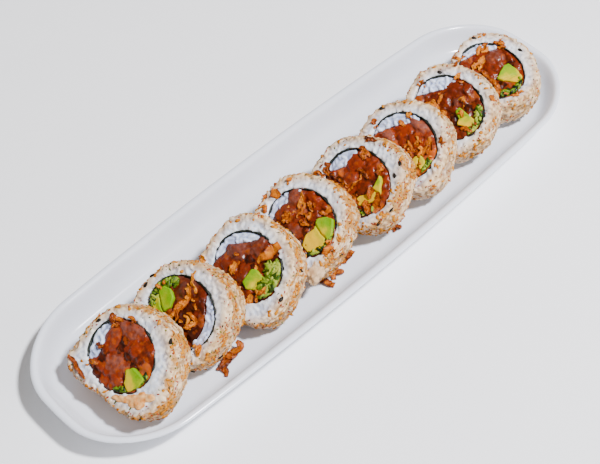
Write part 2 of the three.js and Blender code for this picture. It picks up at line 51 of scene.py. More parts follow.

# %% [markdown]
# ## Numbers that the pieces share
# The lay of each piece is measured in millimetres and degrees: where its cut face stands, how far
# the face leans back, how far out of round the rice was pressed, the loop of nori, the flap of rice
# that was tucked under it, and where avocado and greens lie. The same numbers made the solids.
#
# The other values are looks alone. `closed` is the arc where rice and filling have closed over the
# nori. `dark` is the arc where its edge is drawn thick, partly nori and partly painted shade of the
# crease beside it, and `lid` the share of the flap's outer turn that is drawn so. `ripe` is how
# the avocado's colour runs: direction, tone in the middle, reach, and where the flesh is cracked.
# `flesh` is how pale the tuna is, `spice` how much seasoning the rice took, and `leaf` how much
# lighter the greens are.

# %% Piece table
THICK = 17.3
RADIUS = 24.0
NORI_PROUD = 0.15
LID = 0.75
PIECES = [
    dict(x=-125.6, y=-7.9, lean=54, yaw=1, oval=(1.7, 0.2), three=(0.4, -1.4),
         four=(-0.8, -0.4), bulge=(219, 13, 3.4), loop=(-2.2, -0.3, 17.2, 15.8),
         flap=(147, 84, 6.3),
         closed=(-128, -8), dark=(160, 222), ripe=(75, 0.39, 6.5, -2.6),
         greens=(-62, 66, 1.8), flesh=0.86, spice=1.35,
         avocado=[(4.2, -3), (6.6, 0), (13.9, -0.6), (14.2, -4), (12.4, -9), (11.4, -14),
                  (8.6, -15.3), (7.4, -10.6), (6.2, -6)]),
    dict(x=-93.2, y=-6.4, lean=53, yaw=-1, oval=(0.7, 0.4), three=(-0.6, -0.7),
         four=(-0.6, 0), bulge=(180, 38, -1.7), loop=(1, 0.5, 18.5, 15.3), flap=(68, -108, 5.6),
         closed=(-160, -70), dark=(60, 84), ripe=(60, 0.72, 14, -1.5),
         greens=(138, 66, 3.6), flesh=0.46, spice=1.0,
         avocado=[(-14, -1), (-13, 4.4), (-9.5, 5.6), (-5.6, 3.6), (-4, -1), (-6, -5),
                  (-10, -7.2), (-14, -6)]),
    dict(x=-54.8, y=-9.3, lean=55.5, yaw=-0.5, oval=(1.5, -1.2), three=(-0.1, -0.9),
         four=(-1, -0.2), bulge=(180, 30, -1), loop=(0.3, 0, 18.3, 15.5), flap=(102, 108, 5.4),
         closed=(-110, -40), dark=(88, 108), ripe=(165, 0.66, 8, -2.2),
         greens=(-24, 66, 6), leaf=0.25, flesh=0.62, spice=0.9,
         avocado=[(3.3, -6.6), (3.2, 0.6), (5, 1.8), (12.2, 0.6), (12.6, -4.6), (6.8, -8.2)]),
    dict(x=-21.3, y=-8.7, lean=56, yaw=-1.5, oval=(-0.2, -0.1), three=(-0.5, -0.4),
         four=(-0.6, -0.3), bulge=(0, 1, 0), loop=(1.2, 0.8, 18.2, 15.5), flap=(132, 86, 5.2),
         closed=(-110, 26), dark=(66, 106), ripe=(75, 0.35, 7, 1.2),
         greens=(-36, 64, 1.8), flesh=0.72, spice=1.1, lid=0.05,
         avocado=[(6.6, -2), (8.4, 2.6), (6.8, 7), (10, 10.4), (13.6, 11.6), (17.8, 6),
                  (17.2, -2), (15.4, -8.2), (8.6, -7.2)]),
    dict(x=15, y=-10.2, lean=52, yaw=-6, oval=(0.2, 1.1), three=(0, -0.5),
         four=(-0.2, -0.8), bulge=(0, 1, 0), loop=(1.5, 0, 18.5, 15.5), flap=(136, 66, 7),
         closed=(-60, 66), dark=(92, 112), ripe=(100, 0.25, 14, 2.0),
         greens=(-48, 34, 2.2), flesh=0.85, spice=1.15,
         avocado=[(9, 10), (11.6, 8.4), (15.6, 3), (14.6, -2), (10.4, -7.4), (6.4, -8.4), (7, -4),
                  (10.6, 0), (10, 5)]),
    dict(x=46.6, y=-10.4, lean=54, yaw=-3, oval=(0.3, 0.3), three=(0.2, -0.5),
         four=(0.2, -0.7), bulge=(0, 1, 0), loop=(1, 1, 18, 16), flap=(98, 102, 6),
         closed=(-100, -25), dark=(60, 92), ripe=(40, 0.2, 10, 0.5),
         greens=(-30, 40, 1.8), flesh=1.0, spice=0.42,
         avocado=[(9.6, 0.6), (12, 2.8), (16.2, 1.4), (16.6, -3), (12.6, -4.2), (9.4, -3)]),
    dict(x=80.2, y=-10.4, lean=57, yaw=1.5, oval=(-0.3, -0.2), three=(0.1, 0.6),
         four=(0.1, -0.5), bulge=(0, 1, 0), loop=(0.3, 1.5, 19.2, 15.5), flap=(112, 84, 7.4),
         closed=(-110, -60), dark=(186, 206), ripe=(140, 0.55, 5, 1.0),
         greens=(-18, 52, 2.6), leaf=0.2, flesh=0.56, spice=0.5,
         avocado=[(4.8, 1.6), (5.6, 4.4), (9.4, 4), (15.8, 3.4), (17.2, 1.6), (15, -1.4),
                  (9.4, -3.4), (8.4, -0.4)]),
    dict(x=120.4, y=-6.1, lean=76, yaw=-10, oval=(-0.1, -0.5), three=(0.1, 1.2),
         four=(0.2, -0.1), bulge=(0, 1, 0), loop=(0, 0.5, 19.3, 14.6), flap=(130, 78, 5),
         closed=(-120, -50), dark=(68, 96), ripe=(165, 0.5, 5, -1.5),
         greens=(-24, 52, 2.6), leaf=-0.12, flesh=0.72, spice=0.42,
         avocado=[(2.8, 6.6), (3.6, 8.8), (9.2, 9.6), (14, 9.2), (15.3, 7.2), (15, 4.8),
                  (10, 1.2), (6.6, -1.4), (4.4, 3)]),
]
for number, p in enumerate(PIECES, 1):
    p["number"] = number
    p["rng"] = np.random.default_rng(100 + number)
    p["layers"] = []
print(len(PIECES), "pieces")

# %% [markdown]
# ## From a piece to the plate and back
# Every piece is drawn lying flat, with its cut face at height 0, then stood up in its place. The
# height comes from the solids: the nori of a piece ends 0.15 mm proud of its cut face.

# %% Placement of a piece
def placement(p):
    lean, yaw = math.radians(p["lean"]), math.radians(p["yaw"])
    across = (math.sin(yaw), -math.cos(yaw), 0)
    up = (math.sin(lean) * math.cos(yaw), math.sin(lean) * math.sin(yaw), math.cos(lean))
    out = (-math.cos(lean) * math.cos(yaw), -math.cos(lean) * math.sin(yaw), math.sin(lean))
    turn = np.array((across, up, out))
    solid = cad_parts[f"roll_{p['number']}_nori"]
    points = np.array([v.co for v in solid.data.vertices]) / MM
    reach = (points @ turn[2]).max() - NORI_PROUD
    z = (reach - out[0] * p["x"] - out[1] * p["y"]) / out[2]
    return np.array((p["x"], p["y"], z)), turn

def to_plate(p, points):
    return (p["centre"] + np.asarray(points, float) @ p["turn"]) * MM

def to_piece(p, points):
    return (np.asarray(points, float) / MM - p["centre"]) @ p["turn"].T

for p in PIECES:
    p["centre"], p["turn"] = placement(p)
print("cut faces stand", [round(float(p["centre"][2]), 1) for p in PIECES], "mm high")

# %% Outlines that the layers follow
def rough(points, size, seed=0.0):
    """Smooth noise of about one lump per size, in millimetres, from -1 to 1."""
    shift = Vector((seed, seed * 0.7, seed * 1.3))
    return np.array([noise.noise(Vector(q) / size + shift) for q in points])

def off(a, middle):
    """Degrees from a middle direction, -180 to 180."""
    return (np.degrees(a) - middle + 180) % 360 - 180

def rice_radius(p, a):
    at, wide, rise = p["bulge"]
    r = RADIUS + rise * np.exp(-(off(a, at) / wide) ** 2)
    for waves, name in ((2, "oval"), (3, "three"), (4, "four")):
        r = r + p[name][0] * np.cos(waves * a) + p[name][1] * np.sin(waves * a)
    return r

def loop_radius(p, a):
    rx, ry = p["loop"][2:]
    return rx * ry / np.hypot(ry * np.cos(a), rx * np.sin(a))

def loop_point(p, degrees, inward=0.0):
    a = np.radians(degrees)
    r = loop_radius(p, a) - inward
    return np.stack((p["loop"][0] + r * np.cos(a), p["loop"][1] + r * np.sin(a)), -1)

def about_loop(p, flat):
    """Direction and distance of points from the middle of the nori loop."""
    dx, dy = flat[:, 0] - p["loop"][0], flat[:, 1] - p["loop"][1]
    return np.arctan2(dy, dx), np.hypot(dx, dy)

def set_about_loop(p, flat, where, a, r):
    flat[where, 0] = p["loop"][0] + r * np.cos(a)
    flat[where, 1] = p["loop"][1] + r * np.sin(a)

def ring_of(a, height):
    """Places round the loop where noise is read, so that it has no seam."""
    return np.column_stack((17 * np.cos(a), 17 * np.sin(a), np.full(np.shape(a), height)))

def nori_shown(p, a):
    """1 where the nori shows at the cut, 0 where rice and filling have closed over it."""
    low, high = p["closed"]
    away = np.abs(off(a, (low + high) / 2))
    broken = np.clip(0.75 + 1.6 * rough(ring_of(a, 7.0 * p["number"]), 4.5, 3.0), 0.12, 1)
    return (np.clip((away - (high - low) / 2) / 10 + 0.5, 0, 1)
            * np.maximum(broken, nori_thick_with_shade(p, a)))

def nori_thick_with_shade(p, a):
    """1 where the nori is drawn thick: partly nori, partly painted shade of the crease beside it.
    """
    start, span = p["flap"][:2]
    dark = np.zeros(np.shape(a))
    for low, high in (p["dark"], sorted((start, start + p.get("lid", LID) * span))):
        away = np.abs(off(a, (low + high) / 2))
        dark = np.maximum(dark, np.clip(((high - low) / 2 - away) / 8 + 0.5, 0, 1))
    return dark

def flap_lift(p, v):
    lift = p["flap"][2] * np.sin(np.pi * np.minimum(v * 0.94 + 0.06, 1)) ** 0.7
    lift = np.maximum(1.5 * (1 - v ** 6), lift)
    return lift * np.where(v > 0.86, (1 - v) / 0.14, 1)

def nori_line(p, steps=40):
    """The nori's middle line: inside the flap, once round, then over the flap."""
    start, span = p["flap"][:2]
    v = np.linspace(0, 1, steps, endpoint=False)
    inner = loop_point(p, start + span * v, flap_lift(p, v))
    rest = math.copysign(360 - abs(span), span)
    around = loop_point(p, start + span + rest * np.linspace(0, 1, steps * 3))
    outer = loop_point(p, start + span * 0.82 * np.linspace(0.03, 1, steps))
    return inner, around, outer

# %% [markdown]
# ## Small tools
# Meshes are made from arrays of points. One function adds a node to a tree with its settings and
# links, and one turns an sRGB hex colour into the linear numbers that Blender works with.

# %% Meshes, colours and nodes
def linear(code):
    value = [int(code[i:i + 2], 16) / 255 for i in (1, 3, 5)]
    return tuple(c / 12.92 if c <= 0.04045 else ((c + 0.055) / 1.055) ** 2.4
                 for c in value) + (1.0,)

def node(tree, kind, inputs=(), **settings):
    made = tree.nodes.new(kind)
    for key, value in settings.items():
        setattr(made, key, value)
    for key, value in dict(inputs).items():
        if isinstance(value, bpy.types.NodeSocket):
            tree.links.new(value, made.inputs[key])
        else:
            made.inputs[key].default_value = value
    return made

def mesh_object(name, points, faces, smooth=True):
    mesh = bpy.data.meshes.new(name)
    mesh.from_pydata(np.asarray(points, float).tolist(), [], [list(map(int, f)) for f in faces])
    mesh.validate()
    if smooth:
        mesh.shade_smooth()
    made = bpy.data.objects.new(name, mesh)
    bpy.context.scene.collection.objects.link(made)
    return made

def read(mesh, name):
    flat = np.empty(len(mesh.vertices) * 3)
    mesh.vertices.foreach_get(name, flat)
    return flat.reshape(-1, 3)

def points_of(mesh):
    return read(mesh, "co")

def normals_of(mesh):
    return read(mesh, "normal")

def set_points(mesh, points):
    mesh.vertices.foreach_set("co", np.asarray(points, float).ravel())
    mesh.update()

def set_values(mesh, **layers):
    for name, values in layers.items():
        layer = mesh.attributes.new(name, "FLOAT", "POINT")
        layer.data.foreach_set("value", np.broadcast_to(values, len(mesh.vertices)).astype(float))

def plain_mesh(made):
    """The object's mesh as its modifiers leave it."""
    bpy.context.view_layer.update()
    graph = bpy.context.evaluated_depsgraph_get()
    return bpy.data.meshes.new_from_object(made.evaluated_get(graph))

def finish_mesh(made):
    """Apply the modifiers: the mesh they make becomes the object's own."""
    plain = plain_mesh(made)
    made.modifiers.clear()
    made.data = plain

def remesh(made, voxel, soften):
    """One even skin round everything in a mesh, softened; millimetres."""
    skin = made.modifiers.new("skin", "REMESH")
    skin.mode = "VOXEL"
    skin.voxel_size = voxel * MM
    if soften:
        ease = made.modifiers.new("ease", "SMOOTH")
        ease.iterations = soften
    finish_mesh(made)

def hollow(mesh, rounds):
    """How deep each point lies in a crease, under the smoothed surface; millimetres."""
    points = points_of(mesh)
    ends = np.empty(len(mesh.edges) * 2, int)
    mesh.edges.foreach_get("vertices", ends)
    low, high = ends.reshape(-1, 2).T
    ends, other = np.concatenate((low, high)), np.concatenate((high, low))
    count = np.maximum(np.bincount(ends, minlength=len(points)), 1)[:, None]
    eased = points
    for _ in range(rounds):
        eased = np.column_stack([np.bincount(ends, eased[other, k], len(points))
                                 for k in range(3)]) / count
    return ((eased - points) * normals_of(mesh)).sum(1) / MM

print("tools ready")

# %% [markdown]
# ## Camera and light
# The camera's height, angle and lens come from the plate's rim. The main light is a small bright
# window high on the near side, which throws short clear shadows, and the room around is pale.

# %% Camera
FOCAL, WIDTH = 1302, 600
SENSOR = 36
AROUND, ABOVE = -45, 52.3
LOOK_AT = Vector((-16.64, -5.12, 18))
AWAY = 616

camera = bpy.data.objects.new("camera", bpy.data.cameras.new("camera"))
bpy.context.scene.collection.objects.link(camera)
bpy.context.scene.camera = camera
camera.data.sensor_width = SENSOR
camera.data.lens = FOCAL / WIDTH * SENSOR
azimuth, elevation = math.radians(AROUND), math.radians(ABOVE)
back = Vector((math.sin(azimuth) * math.cos(elevation), -math.cos(azimuth) * math.cos(elevation),
               math.sin(elevation)))
camera.location = LOOK_AT * MM + back * AWAY * MM
camera.rotation_euler = back.to_track_quat("Z", "Y").to_euler()
print("camera at", [round(v, 3) for v in camera.location])

# %% Lights and floor
def area_light(name, spot, size, power, tint):
    lamp = bpy.data.lights.new(name, "AREA")
    lamp.shape = "DISK"
    lamp.size = size
    lamp.energy = power
    lamp.color = linear(tint)[:3]
    made = bpy.data.objects.new(name, lamp)
    made.location = spot
    made.rotation_euler = Vector(spot).to_track_quat("Z", "Y").to_euler()
    bpy.context.scene.collection.objects.link(made)

area_light("window", (0.20, -0.56, 1.27), size=0.15, power=43, tint="#F8F9FF")
area_light("fill", (0.2, -1.1, 0.5), size=1.0, power=7, tint="#F2F5FF")
world = bpy.data.worlds.new("room")
bpy.context.scene.world = world
world.use_nodes = True
room = world.node_tree.nodes["Background"].inputs
room["Color"].default_value = linear("#FFF8EF")
room["Strength"].default_value = 0.31

REACH = 3
corners = [(x * REACH, y * REACH, 0) for x, y in ((-1, -1), (1, -1), (1, 1), (-1, 1))]
floor = mesh_object("floor", corners, [(0, 1, 2, 3)])
print("lights and floor in place")

# %% [markdown]
# ## Materials
# Each one starts from what the real stuff is. Food is mostly water, so its index of refraction is
# near 1.35 to 1.45, and light goes some way into it: rice, fish and avocado get subsurface light.

# %% A material and its texture nodes
def material(name, **settings):
    made = bpy.data.materials.new(name)
    made.use_nodes = True
    tree = made.node_tree
    shader = tree.nodes["Principled BSDF"]
    for key, value in settings.items():
        shader.inputs[key].default_value = value
    place = node(tree, "ShaderNodeTexCoord").outputs["Object"]
    return made, tree, shader, place

def ramp(tree, factor, stops):
    made = node(tree, "ShaderNodeValToRGB", {"Fac": factor})
    for i, (at, code) in enumerate(stops):
        stop = made.color_ramp.elements[i] if i < 2 else made.color_ramp.elements.new(at)
        stop.position = at
        stop.color = linear(code)
    return made.outputs["Color"]

def grain(tree, place, size_mm, detail=2.0, roughness=0.5):
    """A noise whose lumps are about size_mm across."""
    return node(tree, "ShaderNodeTexNoise",
                {"Vector": place, "Scale": 1 / (size_mm * MM), "Detail": detail,
                 "Roughness": roughness}).outputs["Fac"]

def attribute(tree, name):
    return node(tree, "ShaderNodeAttribute", attribute_name=name).outputs["Fac"]

def maths(tree, operation, first, second):
    return node(tree, "ShaderNodeMath", {0: first, 1: second}, operation=operation).outputs[0]

def between(tree, value, low, high, most):
    """0 below low, rising to most at high."""
    return node(tree, "ShaderNodeMapRange", {"Value": value, "From Min": low, "From Max": high,
                                             "To Max": most}).outputs[0]

def blend(tree, factor, first, second):
    return node(tree, "ShaderNodeMix", {0: factor, 6: first, 7: second},
                data_type="RGBA").outputs[2]

def colour(tree, shader, output):
    tree.links.new(output, shader.inputs["Base Color"])

def bump(tree, shader, height, depth_mm):
    made = node(tree, "ShaderNodeBump", {"Height": height, "Distance": depth_mm * MM,
                                         "Strength": 1.0})
    tree.links.new(made.outputs["Normal"], shader.inputs["Normal"])

def let_light_in(shader, weight, radius, scale_mm):
    """Light enters the food and comes out again nearby, red farthest."""
    shader.inputs["Subsurface Weight"].default_value = weight
    shader.inputs["Subsurface Radius"].default_value = radius
    shader.inputs["Subsurface Scale"].default_value = scale_mm * MM

# %% Porcelain, rice and nori
# Floor: a plain painted table top, pale.
paint, tree, shader, place = material("painted_table", Roughness=0.7)
colour(tree, shader, ramp(tree, grain(tree, place, 60), [(0.3, "#FCFCFD"), (0.7, "#FEFEFE")]))
floor.data.materials.append(paint)

# Glazed porcelain: a white body under a clear glass skin, smooth, with a faint orange-peel wave.
porcelain, tree, shader, place = material("glazed_porcelain", Roughness=0.16, IOR=1.5)
colour(tree, shader, ramp(tree, grain(tree, place, 45), [(0.3, "#E2E6EF"), (0.7, "#E9ECF3")]))
bump(tree, shader, grain(tree, place, 9, 1.0), 0.05)

RICE_STOPS = (0.2, 0.5, 0.8)

def cooked_rice(name, cool, warm):
    """Steamed short-grain rice: a milky starch gel that lets light in, moist on top."""
    made, tree, shader, place = material(name, Roughness=0.45, IOR=1.4)
    let_light_in(shader, 0.25, (1.0, 0.8, 0.6), 1.2)
    patch = maths(tree, "ADD", attribute(tree, "tone"), grain(tree, place, 5))
    half = maths(tree, "MULTIPLY", patch, 0.5)
    inner, outer = (ramp(tree, half, list(zip(RICE_STOPS, codes))) for codes in (cool, warm))
    rice = blend(tree, attribute(tree, "warm"), inner, outer)
    # chilli oil and fine powder stain the dressed side in small blots
    blot = maths(tree, "MULTIPLY", grain(tree, place, 1.7, 3.0, 0.6), attribute(tree, "spice"))
    soaked = between(tree, blot, 0.38, 0.56, 0.85)
    colour(tree, shader, blend(tree, soaked, rice, linear("#AE7424")))
    bump(tree, shader, grain(tree, place, 0.6, 3.0), 0.12)
    return made

rice_white = cooked_rice("seasoned_rice", ("#BCC1CE", "#DCDFE6", "#F0F0F2"),
                         ("#A07848", "#CEA878", "#E6C89E"))
# the flap's rice is the same rice, painted bluer and darker in every stop: painted shade
flap_rice_painted_shade = cooked_rice("inner_rice", ("#98A2C2", "#BEC8E4", "#DAE2F6"),
                        ("#98A2C2", "#BEC8E4", "#DAE2F6"))

# Nori: pressed and roasted seaweed, near black with a green cast, satin where it is moist.
seaweed, tree, shader, place = material("roasted_nori", Roughness=0.45, IOR=1.4)
colour(tree, shader, ramp(tree, grain(tree, place, 1.6, 4.0),
                          [(0.3, "#0C110D"), (0.7, "#1E261D")]))
bump(tree, shader, grain(tree, place, 0.5, 4.0), 0.1)
print("porcelain, rice and nori")

# %% Fish, avocado, greens and onion
# Spicy tuna: raw tuna chopped small and dressed, dark red flesh with paler sinew and chilli oil.
tuna, tree, shader, place = material("dressed_tuna", Roughness=0.3, IOR=1.38)
let_light_in(shader, 0.12, (1.6, 0.5, 0.3), 1.5)
shader.inputs["Specular IOR Level"].default_value = 0.3
shader.inputs["Coat Weight"].default_value = 0.1
shader.inputs["Coat Roughness"].default_value = 0.12
veins = maths(tree, "SUBTRACT", grain(tree, place, 2.4, 3.0, 0.6), 0.5)
whole = maths(tree, "ADD", attribute(tree, "tone"), maths(tree, "MULTIPLY", veins, 0.4))
flesh = ramp(tree, whole, [(0.08, "#2C0B02"), (0.28, "#5E1E06"), (0.46, "#8A2A08"),
                           (0.60, "#76341E"), (0.72, "#82493C"), (0.9, "#B45008")])
# chilli oil gathers in small orange pools between the scraps
pool = between(tree, grain(tree, place, 2.3, 2.0), 0.56, 0.66, 0.5)
oiled = blend(tree, pool, flesh, linear("#B24A04"))
# some pieces were cut from a darker part of the loin
colour(tree, shader, blend(tree, attribute(tree, "flesh"), linear("#180401"), oiled))
bump(tree, shader, grain(tree, place, 0.9, 3.0), 0.22)

# Avocado: soft buttery flesh, green under the skin and yellow towards the stone.
avocado, tree, shader, place = material("avocado_flesh", Roughness=0.45, IOR=1.4)
let_light_in(shader, 0.15, (1.0, 1.0, 0.05), 1.2)
shader.inputs["Specular IOR Level"].default_value = 0.15
soft = maths(tree, "SUBTRACT", grain(tree, place, 4), 0.5)
ripe = maths(tree, "ADD", attribute(tree, "tone"), soft)
colour(tree, shader, ramp(tree, ripe, [(0.15, "#DAB000"), (0.42, "#C2B000"), (0.62, "#92A400"),
                                       (0.95, "#6E9B00")]))
bump(tree, shader, grain(tree, place, 1.4, 2.0), 0.15)

# Chopped greens: spring onion and cucumber skin, wet and bright to very dark.
greens, tree, shader, place = material("chopped_greens", Roughness=0.35, IOR=1.4)
let_light_in(shader, 0.2, (0.6, 1.0, 0.3), 1.0)
shader.inputs["Specular IOR Level"].default_value = 0.3
colour(tree, shader, ramp(tree, attribute(tree, "tone"),
                          [(0.0, "#0C1A06"), (0.4, "#2E4A08"), (0.7, "#64800E"),
                           (1.0, "#A4AC3C")]))
bump(tree, shader, grain(tree, place, 0.8, 2.0), 0.15)

# Fried onion: thin shreds dried and browned in oil, amber where thin and brown at the edges.
fried, tree, shader, place = material("fried_onion", Roughness=0.4, IOR=1.47)
let_light_in(shader, 0.2, (1.0, 0.5, 0.2), 0.8)
shader.inputs["Specular IOR Level"].default_value = 0.25
patch = maths(tree, "ADD", attribute(tree, "tone"), grain(tree, place, 1.5, 3.0, 0.6))
colour(tree, shader, ramp(tree, maths(tree, "MULTIPLY", patch, 0.5),
                          [(0.16, "#4A1600"), (0.36, "#8E3E00"), (0.54, "#C06800"),
                           (0.8, "#DC9016")]))
bump(tree, shader, grain(tree, place, 0.5, 3.0), 0.2)

def plain_spice(name, low, high, roughness=0.5):
    made, tree, shader, place = material(name, Roughness=roughness, IOR=1.45)
    shader.inputs["Specular IOR Level"].default_value = 0.12
    colour(tree, shader, ramp(tree, grain(tree, place, 2.0, 2.0), [(0.35, low), (0.65, high)]))
    return made

chilli = plain_spice("orange_seasoning", "#A25606", "#CE860E")
chilli_red = plain_spice("chilli_flake", "#7E1A0C", "#A83218")
herb = plain_spice("green_seaweed_flake", "#2E3A10", "#6A6C20")
sesame_black = plain_spice("black_sesame", "#15120F", "#2A231C", 0.35)
mayo = plain_spice("spicy_mayonnaise", "#CE8038", "#EEB878", 0.25)
print("fish, avocado, greens, onion and spice")

# %% [markdown]
# ## The plate
# A pressed porcelain tray: one rounded oblong outline, drawn in a little at the corners, carried
# from the foot over the rim and down to the floor. A loft through such outlines makes it in one
# closed skin, and a subdivision surface rounds the steps between them.

# %% Loft of the plate
PLATE_L, PLATE_W, CORNER = 320.0, 94.0, 36.0
DRAWN_L, DRAWN_W = 4.6, 5.4
CORNER_STEPS, LONG_STEPS, SHORT_STEPS = 12, 24, 6

def plate_outline(inset, z):
    half_l, half_w = PLATE_L / 2, PLATE_W / 2
    r = max(CORNER - inset, 3)
    cx, cy = half_l - inset - r, half_w - inset - r
    ring = []
    for n, (sx, sy) in enumerate([(1, 1), (-1, 1), (-1, -1), (1, -1)]):
        for i in range(CORNER_STEPS + 1):
            a = math.radians(90 * n + 90 * i / CORNER_STEPS)
            ring.append((sx * cx + r * math.cos(a), sy * cy + r * math.sin(a)))
        nx, ny = [(-1, 1), (-1, -1), (1, -1), (1, 1)][n]
        a = math.radians(90 * n + 90)
        ends = np.array([(sx * cx + r * math.cos(a), sy * cy + r * math.sin(a)),
                         (nx * cx + r * math.cos(a), ny * cy + r * math.sin(a))])
        steps = LONG_STEPS if n % 2 == 0 else SHORT_STEPS
        for i in range(1, steps):
            ring.append(tuple(ends[0] + (ends[1] - ends[0]) * i / steps))
    x, y = np.array(ring).T
    return np.column_stack((x * (1 - DRAWN_L / half_l * (y / half_w) ** 2),
                            y * (1 - DRAWN_W / half_w * (x / half_l) ** 2),
                            np.full(len(x), z)))

def loft(rings, cap_low=True, cap_high=True):
    count = len(rings[0])
    faces = []
    for level in range(len(rings) - 1):
        for i in range(count):
            a, b = level * count + i, level * count + (i + 1) % count
            faces.append((a, b, b + count, a + count))
    if cap_low:
        faces.append(tuple(range(count))[::-1])
    if cap_high:
        faces.append(tuple(range((len(rings) - 1) * count, len(rings) * count)))
    return np.vstack(rings), faces

profile = [(40, 1.6), (21.6, 1.6), (20.6, 1.2), (20.2, 0.1), (19.8, 0), (17.2, 0), (16.6, 0.25),
           (14.6, 1.8), (9, 5), (4.6, 11), (1, 15.4), (0.1, 16.7), (0.25, 17.5), (1.2, 18),
           (2.4, 18), (3.5, 17.5), (4.5, 16.3), (6.6, 11.6), (8.8, 8.4), (10.8, 6.8), (13.4, 6.1),
           (16, 6), (40, 6)]
points, faces = loft([plate_outline(inset, z) for inset, z in profile])
dish = mesh_object("plate_glazed", points * MM, faces)
dish.data.materials.append(porcelain)
smooth = dish.modifiers.new("round", "SUBSURF")
smooth.levels = smooth.render_levels = 1
finish_mesh(dish)
dish.data.shade_smooth()
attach(dish, "root")
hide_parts("plate")
print("plate", len(dish.data.polygons), "faces")

# %% [markdown]
# ## A scatter tree
# Rice grains, chilli flakes and seeds all repeat a small shape over a surface. One Geometry Nodes
# tree does it: spread points evenly where an attribute allows them, set a shape from a collection
# on each, turned to lie along the surface, then make the result real mesh with its material.

# %% Build the scatter tree
def scatter_tree():
    tree = bpy.data.node_groups.new("spread_on_surface", "GeometryNodeTree")
    for label, kind in [("Surface", "Geometry"), ("Spacing", "Float"), ("Share", "Float"),
                        ("Sink", "Float"), ("Tilt", "Float"), ("Smallest", "Float"),
                        ("Largest", "Float"), ("Seed", "Int"), ("Shapes", "Collection"),
                        ("Finish", "Material")]:
        tree.interface.new_socket(label, in_out="INPUT", socket_type="NodeSocket" + kind)
    tree.interface.new_socket("Result", in_out="OUTPUT", socket_type="NodeSocketGeometry")
    given = node(tree, "NodeGroupInput").outputs
    cover = node(tree, "GeometryNodeInputNamedAttribute", {"Name": "cover"}, data_type="FLOAT")
    square = maths(tree, "MULTIPLY", given["Spacing"], given["Spacing"])
    density = maths(tree, "DIVIDE", 3.0, square)
    factor = maths(tree, "MULTIPLY", cover.outputs["Attribute"], given["Share"])
    spread = node(tree, "GeometryNodeDistributePointsOnFaces", distribute_method="POISSON",
                  inputs={"Mesh": given["Surface"], "Distance Min": given["Spacing"],
                          "Density Max": density, "Density Factor": factor,
                          "Seed": given["Seed"]})
    inward = maths(tree, "MULTIPLY", given["Sink"], -1.0)
    offset = node(tree, "ShaderNodeVectorMath", operation="SCALE",
                  inputs={0: spread.outputs["Normal"], "Scale": inward})
    sunk = node(tree, "GeometryNodeSetPosition", {"Geometry": spread.outputs["Points"],
                                                  "Offset": offset.outputs[0]})
    less = maths(tree, "MULTIPLY", given["Tilt"], -1.0)
    low = node(tree, "ShaderNodeCombineXYZ", {0: less, 1: less, 2: 0.0})
    high = node(tree, "ShaderNodeCombineXYZ", {0: given["Tilt"], 1: given["Tilt"], 2: math.tau})
    turn = node(tree, "FunctionNodeRandomValue", data_type="FLOAT_VECTOR",
                inputs={0: low.outputs[0], 1: high.outputs[0], "Seed": given["Seed"]})
    euler = node(tree, "FunctionNodeEulerToRotation", {0: turn.outputs[0]})
    spin = node(tree, "FunctionNodeRotateRotation", rotation_space="LOCAL",
                inputs={0: spread.outputs["Rotation"], 1: euler.outputs[0]})
    size = node(tree, "FunctionNodeRandomValue", data_type="FLOAT",
                inputs={2: given["Smallest"], 3: given["Largest"], "Seed": given["Seed"]})
    shapes = node(tree, "GeometryNodeCollectionInfo", {"Collection": given["Shapes"],
                                                       "Separate Children": True,
                                                       "Reset Children": True})
    placed = node(tree, "GeometryNodeInstanceOnPoints",
                  {"Points": sunk.outputs[0], "Instance": shapes.outputs[0],
                   "Pick Instance": True, "Rotation": spin.outputs[0], "Scale": size.outputs[1]})
    mark = node(tree, "FunctionNodeRandomValue", {"Seed": given["Seed"]}, data_type="FLOAT")
    toned = node(tree, "GeometryNodeStoreNamedAttribute", data_type="FLOAT", domain="INSTANCE",
                 inputs={"Geometry": placed.outputs[0], "Name": "tone", "Value": mark.outputs[1]})
    real = node(tree, "GeometryNodeRealizeInstances", {"Geometry": toned.outputs[0]})
    dressed = node(tree, "GeometryNodeSetMaterial", {"Geometry": real.outputs[0],
                                                     "Material": given["Finish"]})
    node(tree, "NodeGroupOutput", {"Result": dressed.outputs[0]})
    return tree

SPREAD = scatter_tree()

def spread_on(host, shapes, finish, spacing, tilt, sizes, seed, share=1.0, sink=0.0):
    """Plain mesh of the shapes spread over host; sizes in millimetres."""
    modifier = host.modifiers.new("spread", "NODES")
    modifier.node_group = SPREAD
    given = {"Spacing": spacing * MM, "Share": share, "Sink": sink * MM, "Tilt": tilt,
             "Smallest": sizes[0], "Largest": sizes[1], "Seed": seed, "Shapes": shapes,
             "Finish": finish}
    for socket in SPREAD.interface.items_tree:
        if socket.in_out == "INPUT" and socket.name in given:
            modifier[socket.identifier] = given[socket.name]
    mesh = plain_mesh(host)
    host.modifiers.remove(modifier)
    return mesh

print("scatter tree has", len(SPREAD.nodes), "nodes")

# %% [markdown]
# ## Grains, flakes and seeds
# A cooked grain of sushi rice is about 6 mm long and 2.6 mm wide, a little bent. A chilli flake is
# a scrap about 1 mm across, a sesame seed a flat drop of 3 mm. Each has only a few dozen faces,
# because there are thousands of them.

# %% Small shapes
def small_shape(group, name, points, faces):
    mesh = bpy.data.meshes.new(name)
    mesh.from_pydata([tuple(q) for q in points], [], faces)
    mesh.shade_smooth()
    made = bpy.data.objects.new(name, mesh)
    group.objects.link(made)

